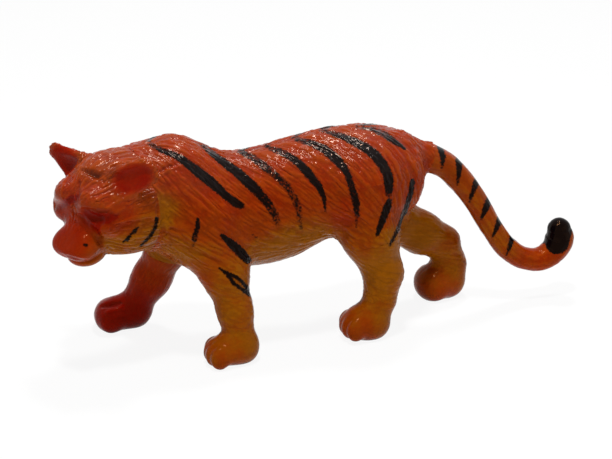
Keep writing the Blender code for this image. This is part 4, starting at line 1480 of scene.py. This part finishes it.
@dataclass
class Head:
    """The head, in its own frame: forward, to its left, up."""

    trunk: Trunk | None = None
    offset: Point = (-8.0, -3.4, 0.3)
    yaw: float = 31.0
    pitch: float = 12.0
    skull_masses: tuple[Mass, ...] = (
        Mass((-1.6, 0.0, 0.8), (10.4, 9.6, 10.6)),
        Mass((-2.6, 6.6, -4.5), (7.6, 5.4, 7.4)),
        Mass((0.0, 0.0, -7.0), (8.0, 6.6, 5.2)),
        Mass((2.4, 4.6, 1.2), (5.6, 5.4, 5.4)),
    )
    cheekbone: Mass = Mass((5.9, 6.6, 0.2), (3.2, 3.4, 3.7))
    brow: Mass = Mass((6.2, 3.9, 4.8), (2.9, 4.0, 2.9))
    lip: Mass = Mass((10.6, 2.8, -5.7), (4.0, 3.4, 3.1))
    jaw: Mass = Mass((7.0, 0.0, -6.0), (6.5, 5.8, 3.6))
    nose: Mass = Mass((13.6, 0.0, -4.8), (1.8, 3.1, 1.6))
    chin: Mass = Mass((8.3, 0.0, -9.2), (4.6, 4.7, 2.9))
    ruff: Mass = Mass((-6.5, 1.9, -1.2), (9.0, 12.5, 12.5))
    ruff_back: Point = (0.98, 0.196, -6.86)
    ruff_top: float = 4.0
    muzzle_top: Point = (9.2, 0.0, 0.0)
    muzzle_fall: float = 43.0
    bridge: tuple[Point, Point] = ((3.5, 0.0, 0.2), (11.2, 0.0, -5.4))
    bridge_radii: tuple[float, float] = (4.3, 3.2)
    bridge_width: float = 1.1
    eye_hollow: tuple[Point, Point] = ((10.8, 2.4, 4.0), (8.9, 8.2, 1.7))
    hollow_radii: tuple[float, float] = (1.2, 1.0)
    hollow_edge: float = 1.1
    ears: tuple[Ear, ...] = (
        Ear(Side.LEFT, (-0.7, 8.6, 7.8), (-3.8, 12.6, 9.4), (0.75, 0.6, 0.3), (4.0, 3.4), rim=0.75,
            cup=1.6, cup_down=0.4, cup_start=-2.2),
        Ear(Side.RIGHT, (-0.8, 8.2, 7.2), (0.2, 13.2, 10.5), (1.0, 0.0, 0.25), (4.7, 2.3)),
    )
    eye: Point = (8.7, 5.4, 1.8)
    ear_tint: float = 0.95
    neck_reach: float = 24.0
    step: float = 0.8
    fur_depth: float = 0.16

    def axes(self) -> Array:
        """Columns: forward, left and up."""
        forward = heading(self.yaw, self.pitch)
        left = np.array((math.sin(math.radians(self.yaw)), -math.cos(math.radians(self.yaw)), 0.0))
        return np.stack((forward, left, np.cross(forward, left)), 1)

    def own(self, points: Array) -> Array:
        """Points in the head's frame."""
        return (points - NECK_SEAM - np.array(self.offset)) @ self.axes()

    def skull(self, points: Array) -> Array:
        """Skull, cheeks, brows, muzzle and chin, less the eye hollows."""
        q = self.own(points)
        m = folded(q)
        form = union([mass.form(m) for mass in self.skull_masses], BLEND_SKULL)
        form = union([form, self.cheekbone.form(m), self.brow.form(m)], BLEND_FACE)
        form = smooth_min(form, self.muzzle(q, m), BLEND_MUZZLE)
        form = smooth_min(form, self.chin.form(q), BLEND_CREASE)
        return smooth_max(form, -bar(m, *self.eye_hollow, self.hollow_radii), self.hollow_edge)

    def muzzle(self, q: Array, m: Array) -> Array:
        """Muzzle: a bridge, lips, jaw and nose under a flat sloping top."""
        bridge = bar(q, *self.bridge, self.bridge_radii, self.bridge_width)
        form = union([bridge, self.lip.form(m), self.jaw.form(q)], BLEND_FACE)
        form = smooth_min(form, self.nose.form(q), BLEND_CREASE)
        fall = math.radians(self.muzzle_fall)
        top = (q - np.array(self.muzzle_top)) @ np.array((math.sin(fall), 0.0, math.cos(fall)))
        return smooth_max(form, top, 0.9)

    def ruff_form(self, q: Array) -> Array:
        """Ruff round the cheeks: a wide egg that ends at a step before the neck."""
        forward, up, start = self.ruff_back
        form = smooth_max(self.ruff.form(q), start - forward * q[:, 0] - up * q[:, 2], 0.5)
        return smooth_max(form, q[:, 2] - self.ruff_top, 2.5)

    def piece_form(self, points: Array) -> Array:
        """The head with its ears, faired into the neck and ended a little past its seam."""
        form = smooth_min(self.skull(points), self.trunk.with_neck(points), BLEND_HEAD)
        q = self.own(points)
        form = smooth_min(form, self.ruff_form(q), BLEND_RUFF)
        for ear in self.ears:
            form = smooth_min(form, ear.form(q), BLEND_FACE)
        return np.maximum(form, -((points - NECK_SEAM) @ NECK_AXIS) - SEAM_MARGIN)

    def flow(self, points: Array) -> Array:
        """Fur that runs back over the crown, and back and down along the cheeks."""
        q = self.own(points)
        down = 0.25 * fall(q[:, 2], -4.0, 4.0)
        own = np.stack((-np.ones(len(q)), 0.25 * np.tanh(q[:, 1] / 4.0), -down), 1)
        return own @ self.axes().T

    def depth(self, points: Array) -> Array:
        """Depth of the fur: little on the muzzle, round the eyes and in the ears."""
        q = self.own(points)
        face = 1.0 - ramp(q[:, 0] - 0.4 * q[:, 2], 8.5, 12.5)
        from_eye = np.linalg.norm(folded(q) - np.array(self.eye), axis=1)
        bare = self.in_ears(q) + fall(from_eye, 3.5, 5.5)
        return self.fur_depth * (0.08 + 0.92 * face) * (1.0 - 0.85 * np.clip(bare, 0.0, 1.0))

    def in_ears(self, q: Array) -> Array:
        """Share by which a place lies in either ear's cup."""
        return sum(ear.inside(q) for ear in self.ears)

    def tint(self, points: Array) -> Array:
        """Sprayed tint: red above and on the face, gold on the lower cheek."""
        q = self.own(points)
        tint = sprayed(folded(q), 0.1 + 0.32 * ramp(q[:, 2], -6.0, 4.0), HEAD_MISTS)
        for ear in self.ears:
            tint += ear.inside(q) * (self.ear_tint - tint)
        return tint

    def clear(self, points: Array) -> Array:
        """Clear gloss: the figure's own, less in the ears."""
        return polish(points) * (1.0 - 0.75 * np.clip(self.in_ears(self.own(points)), 0.0, 1.0))

    def build(self, shop: Workshop, finish: bpy.types.Material) -> bpy.types.Object:
        """Make the head."""
        skin, fur = shop.skin(self.piece_form, self.step, Coat(self.flow, self.depth), HEAD_CREASES)
        obj = shop.mesh("head_skin", skin, fur)
        shop.trim(obj, (Cut(NECK_SEAM + GLUED_GAP / 2 * NECK_AXIS, -NECK_AXIS, self.neck_reach),))
        shop.dress(obj, finish, self.tint, HEAD_STROKES, False, EYE_GLAZES, self.clear)
        return obj


@dataclass
class Tail:
    """The tail: a round section carried along a curve (x, z, radius)."""

    path: tuple[Point, ...] = (
        (26.0, 44.6, 4.4),
        (33.6, 43.1, 3.75),
        (37.9, 40.8, 3.4),
        (42.5, 36.3, 3.3),
        (47.2, 29.9, 3.05),
        (52.1, 21.8, 2.9),
        (57.0, 15.2, 3.0),
        (61.8, 11.9, 3.0),
        (66.5, 11.1, 3.2),
        (70.2, 13.0, 3.5),
        (71.9, 16.8, 3.8),
        (71.6, 19.0, 3.1),
    )
    rings: int = 300
    sides: int = 84
    dome_rings: int = 24
    seam_stretch: float = 3.0
    lock_reach: float = 3.5
    fur_depth: float = 0.05
    boldness: float = 0.7

    def curve(self) -> tuple[Array, Array, Array, Array]:
        """Where the sections stand: a smooth curve through the path, square to its seam.

        A quarter circle of shrinking rings ends it.

        Returns:
            Each ring's x, z and radius, and the way along the tail there as x and z.
        """
        path = np.array(self.path[1:])
        chord = np.concatenate(([0.0], np.cumsum(np.hypot(*np.diff(path[:, :2], axis=0).T))))
        s = np.linspace(GLUED_GAP / 2, chord[-1], self.rings)
        x, z, radius = (through_stations(s, chord, path[:, i]) for i in range(3))
        slope = np.stack((np.gradient(x, s), np.gradient(z, s)), 1)
        slope /= np.linalg.norm(slope, axis=1, keepdims=True)
        start = unit((self.path[2][0] - self.path[0][0], 0.0, self.path[2][1] - self.path[0][1]))
        near = fall(s, 0.0, self.seam_stretch)[:, None]
        slope = (1 - near) * slope + near * start[[0, 2]]
        slope /= np.linalg.norm(slope, axis=1, keepdims=True)
        x[0], z[0] = path[0, 0] + GLUED_GAP / 2 * start[0], path[0, 1] + GLUED_GAP / 2 * start[2]
        lift = np.linspace(0.0, math.pi / 2, self.dome_rings + 1)[1:-1]
        x = np.concatenate((x, x[-1] + radius[-1] * np.sin(lift) * slope[-1, 0]))
        z = np.concatenate((z, z[-1] + radius[-1] * np.sin(lift) * slope[-1, 1]))
        slope = np.concatenate((slope, np.repeat(slope[-1:], len(lift), axis=0)))
        return x, z, np.concatenate((radius, radius[-1] * np.cos(lift))), slope

    def build(self, shop: Workshop, finish: bpy.types.Material) -> bpy.types.Object:
        """Make the tail from rings of points, each square to the curve.

        Args:
            shop: What it is made with.
            finish: Its material.

        Returns:
            The piece.
        """
        x, z, radius, slope = self.curve()
        level = np.zeros(len(x))
        angle = 2 * math.pi * np.arange(self.sides) / self.sides
        sideways = np.broadcast_to(np.sin(angle), (len(x), self.sides))
        across = np.stack((-np.cos(angle)[None] * slope[:, 1:2], sideways,
                           np.cos(angle)[None] * slope[:, 0:1]), 2)
        centre = np.stack((x, level, z), 1)[:, None]
        points = (centre + radius[:, None, None] * across).reshape(-1, 3)
        out = across.reshape(-1, 3)
        along = np.repeat(np.stack((slope[:, 0], level, slope[:, 1]), 1), self.sides, axis=0)
        coat = Coat(lambda _: along, lambda p: np.full(len(p), self.fur_depth), lock_reach=self.lock_reach)
        fur = coat.strands(points, out)
        points = points + coat.relief(points, fur)[:, None] * out
        index = np.arange(len(points)).reshape(-1, self.sides)
        around = np.roll(index, -1, axis=1)
        quads = np.stack((index[:-1], index[1:], around[1:], around[:-1]), 2).reshape(-1, 4)
        obj = shop.mesh("tail_skin", Skin(points, quads), self.boldness * fur)
        shop.trim(obj, ())
        shop.dress(obj, finish, self.tint, (*TAIL_STROKES, TAIL_TIP), True)
        return obj

    def tint(self, points: Array) -> Array:
        """Sprayed tint: orange above, gold under the root, red at the curl."""
        return sprayed(points, 0.28 + 0.02 * (points[:, 2] - 30.0) / 10.0, TAIL_MISTS)


# Sprayed tint and the legs' places


CLEAR_GLOSS = 0.14


def polish(points: Array) -> Array:
    """Share of clear gloss over the vinyl: none low down, growing towards the back and the crown."""
    return CLEAR_GLOSS * ramp(points[:, 2], 40.0, 50.0)


BODY_MISTS = (
    # Near haunch: redder in the fold before it, partly sprayed tint and partly painted shade
    Mist((7.0, -12.5, 35.0), 6.0, 0.62, 0.7),
    # Gold behind the cheek and down the neck
    Mist((-38.0, -12.4, 41.0), 7.0, 0.0, 0.95),
    Mist((-33.0, -13.0, 31.0), 8.5, 0.05, 0.8),
    # Shoulder, and the upper near foreleg below it
    Mist((-29.0, -13.5, 38.0), 8.0, 0.42, 0.7),
    Mist((-30.0, -15.0, 24.0), 7.0, 0.34, 0.7),
    Mist((-20.0, -16.0, 15.0), 9.0, 0.12, 0.8),
    # Gold on the near hind leg, with red before the knee
    Mist((18.5, -13.8, 22.5), 11.5, -0.05, 0.9),
    Mist((12.5, -13.0, 27.0), 7.0, 0.3, 0.6),
    # Gold on the far hind leg and on the belly
    Mist((31.0, 5.0, 20.0), 13.0, 0.04, 0.8),
    Mist((-4.0, -8.0, 23.0), 17.0, -0.05, 0.85),
    # Orange paws, and the far hock
    Mist((-24.0, -14.0, 2.0), 8.0, 0.36, 0.9),
    Mist((12.0, -10.0, 3.0), 8.5, 0.38, 0.9),
    Mist((40.0, 8.0, 3.0), 9.0, 0.5, 0.9),
    Mist((43.0, 6.0, 15.0), 8.0, 0.18, 0.7),
)


def body_tint(points: Array) -> Array:
    """Tint on trunk and legs: gold under the belly, orange up the flank, then each puff."""
    return sprayed(points, 0.1 + 0.4 * ramp(points[:, 2], 20.0, 42.0), BODY_MISTS)


HEAD_MISTS = (
    # Cheekbone, brow, muzzle, chin, eye, and gold behind the cheek
    Mist((4.0, 8.5, 1.0), 7.0, 0.6, 0.85),
    Mist((6.5, 3.0, 5.5), 6.0, 0.6, 0.8),
    Mist((12.0, 0.0, -3.6), 9.5, 0.78, 1.0),
    Mist((8.0, 0.0, -11.0), 6.0, 0.35, 0.8),
    Mist((8.3, 4.6, 1.2), 4.0, 0.95, 0.6),
    Mist((-7.5, 11.0, -5.5), 6.0, 0.05, 0.9),
)
FAR_FORELEG_MISTS = (
    Mist((-36.0, 12.0, 12.0), 60.0, 0.66),
    Mist((-31.0, 10.0, 21.0), 11.0, 0.38, 0.9),
    Mist((-45.0, 14.0, 2.0), 17.0, 1.08, 0.95),
)
TAIL_MISTS = (
    Mist((36.0, 0.0, 50.0), 12.0, 0.42, 0.8),
    Mist((34.0, 0.0, 33.0), 9.0, 0.15, 0.7),
    Mist((66.0, 0.0, 8.0), 15.0, 0.52, 0.9),
)


def legs() -> tuple[Leg, ...]:
    """The four legs."""
    return (
        Leg("foreleg_left",
            joints=(((-27.5, -7.6, 34.0), 8.6), ((-22.4, -11.0, 22.5), 5.3), ((-20.6, -12.6, 13.6), 3.9),
                    ((-19.6, -13.4, 6.0), 3.9)),
            paw=(-22.8, -13.7, 3.7), heel=(-18.9, -13.4, 3.4), strokes=(*BODY_STROKES, *LEG_STROKES)),
        Leg("foreleg_right",
            joints=(((-30.0, 7.5, 34.0), 8.6), ((-31.9, 9.8, 23.0), 5.3), ((-36.0, 12.4, 13.5), 4.6),
                    ((-39.8, 14.0, 6.5), 4.3)),
            paw=(-44.4, 14.8, 3.8), heel=(-40.2, 14.4, 3.5), mists=FAR_FORELEG_MISTS,
            comb=(-0.46, 0.2, -0.86), paw_radii=(5.2, 4.5, 4.6), toe_blend=2.4, fur_depth=0.045,
            creases=PAW_CREASES),
        Leg("hindleg_left",
            joints=(((15.0, -5.0, 39.0), 11.6), ((15.6, -8.4, 27.5), 7.0), ((18.8, -9.6, 17.0), 4.6),
                    ((17.8, -9.9, 10.0), 3.7), ((15.9, -9.9, 4.7), 3.7)),
            paw=(13.4, -9.7, 4.3), heel=(16.4, -9.9, 3.5), strokes=BODY_STROKES, paw_radii=(5.2, 4.5, 4.7)),
        Leg("hindleg_right",
            joints=(((18.5, 5.0, 39.0), 11.2), ((26.0, 7.6, 25.0), 6.4), ((35.6, 7.8, 19.2), 5.2),
                    ((41.8, 8.2, 15.6), 4.1), ((44.1, 8.3, 9.0), 3.9), ((44.0, 8.3, 5.0), 3.9)),
            paw=(41.4, 8.2, 4.7), heel=(43.9, 8.4, 3.7), paw_radii=(5.2, 4.5, 4.9), toe_blend=3.5),
    )


# Studio


WHITE = (1.0, 1.0, 1.0, 1.0)


@dataclass(frozen=True)
class Lamp:
    """Square soft lamp that points at the figure: metres and watts."""

    name: str
    place: Point
    size: float
    power: float

    def build(self) -> None:
        """Hang the lamp."""
        data = bpy.data.lights.new(self.name, "AREA")
        data.size = self.size
        data.energy = self.power
        lamp = bpy.data.objects.new(self.name, data)
        lamp.location = self.place
        lamp.rotation_euler = (-Vector(self.place)).to_track_quat("-Z", "Y").to_euler()
        bpy.context.scene.collection.objects.link(lamp)


@dataclass(frozen=True)
class Studio:
    """Plain pale floor and soft light; the lamps' places and sizes are metres."""

    floor_size: float = 8.0
    floor_colour: Point = (0.9, 0.9, 0.9)
    floor_roughness: float = 0.9
    lamps: tuple[Lamp, ...] = (
        Lamp("key", (-0.07, -0.14, 0.63), 0.06, 2.4),
        Lamp("top", (0.08, 0.16, 0.62), 0.08, 2.2),
        Lamp("left_fill", (-0.5, -0.45, 0.3), 0.5, 0.3),
        Lamp("right_fill", (0.5, -0.5, 0.25), 0.5, 0.4),
    )
    ambient: float = 0.22
    whitened: float = 0.9

    def build(self) -> None:
        """Make the floor, the lamps and the world."""
        bpy.context.scene.view_settings.view_transform = "Standard"
        self._floor()
        for lamp in self.lamps:
            lamp.build()
        self._world()

    def _floor(self) -> None:
        """Pale floor that shows the camera mostly white and keeps a soft shadow."""
        half = self.floor_size / 2
        corners = [(-half, -half, 0), (half, -half, 0), (half, half, 0), (-half, half, 0)]
        mesh = bpy.data.meshes.new("floor")
        mesh.from_pydata(corners, [], [(0, 1, 2, 3)])
        floor = bpy.data.objects.new("floor", mesh)
        bpy.context.scene.collection.objects.link(floor)
        material = bpy.data.materials.new("pale_floor")
        material.use_nodes = True
        sheet = NodeSheet(material.node_tree)
        shader = material.node_tree.nodes["Principled BSDF"]
        shader.inputs["Base Color"].default_value = (*self.floor_colour, 1.0)
        shader.inputs["Roughness"].default_value = self.floor_roughness
        glow = sheet.add("Emission", Color=WHITE, Strength=1.0)
        share = sheet.math("MULTIPLY", self._shown(sheet), self.whitened)
        mixed = sheet.add("MixShader", n0=share, n1=shader.outputs[0], n2=glow.outputs[0])
        sheet.tree.links.new(mixed.outputs[0], material.node_tree.nodes["Material Output"].inputs[0])
        mesh.materials.append(material)

    @staticmethod
    def _shown(sheet: NodeSheet) -> bpy.types.NodeSocket:
        """1 for rays that show a thing itself: from the camera, in gloss or through glass."""
        path = sheet.add("LightPath")
        total = sheet.math("ADD", path.outputs["Is Camera Ray"], path.outputs["Is Glossy Ray"])
        return sheet.math("MINIMUM", sheet.math("ADD", total, path.outputs["Is Transmission Ray"]), 1.0)

    def _world(self) -> None:
        """White for the camera, and even soft light for everything else."""
        world = bpy.data.worlds.new("studio")
        world.use_nodes = True
        bpy.context.scene.world = world
        sheet = NodeSheet(world.node_tree)
        background = world.node_tree.nodes["Background"]
        background.inputs["Color"].default_value = WHITE
        strength = sheet.step(self._shown(sheet), 0.0, 1.0, self.ambient, 1.0)
        sheet.tree.links.new(strength, background.inputs["Strength"])


def main() -> None:
    """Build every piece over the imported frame."""
    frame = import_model()
    neck = next(joint for joint in frame["joints"] if joint["name"] == "head_turn")
    shift = np.array(neck["pos_m"]) / MILLIMETRE - NECK_SEAM
    groups = {tree.name: tree for tree in (tint_and_shade_group(), brushed_group(), grain_group())}
    shop = Workshop(shift, 2)
    tail = Tail()
    trunk = Trunk(legs(), tail_path=tail.path)
    head = Head(trunk)
    trunk.head = head
    slots = ("trunk_vinyl", "head_vinyl", "leg_vinyl", "red_vinyl")
    finishes = {slot: Vinyl(slot).build(groups) for slot in slots}
    left, right = trunk.build(shop, finishes["trunk_vinyl"])
    pieces = [
        (left, Body.TRUNK, "torso_left_shell", "trunk_vinyl"),
        (right, Body.TRUNK, "torso_right_shell", "trunk_vinyl"),
        (head.build(shop, finishes["head_vinyl"]), Body.HEAD, "head", "head_vinyl"),
        (tail.build(shop, finishes["trunk_vinyl"]), Body.TAIL, "tail", "trunk_vinyl"),
    ]
    for leg in trunk.legs:
        slot = "red_vinyl" if leg.name == "foreleg_right" else "leg_vinyl"
        pieces.append((leg.build(shop, trunk.with_neck, finishes[slot]), Body.TRUNK, leg.name, slot))
    for obj, body, node, slot in pieces:
        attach(obj, body.value)
        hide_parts(node)
        LOG.info("%s rides on %s with %d faces", obj.name, body.value, len(obj.data.polygons))
    Studio().build()
    CAMERA.build(shift)


if __name__ == "__main__":
    logging.basicConfig(level=logging.INFO)
    main()
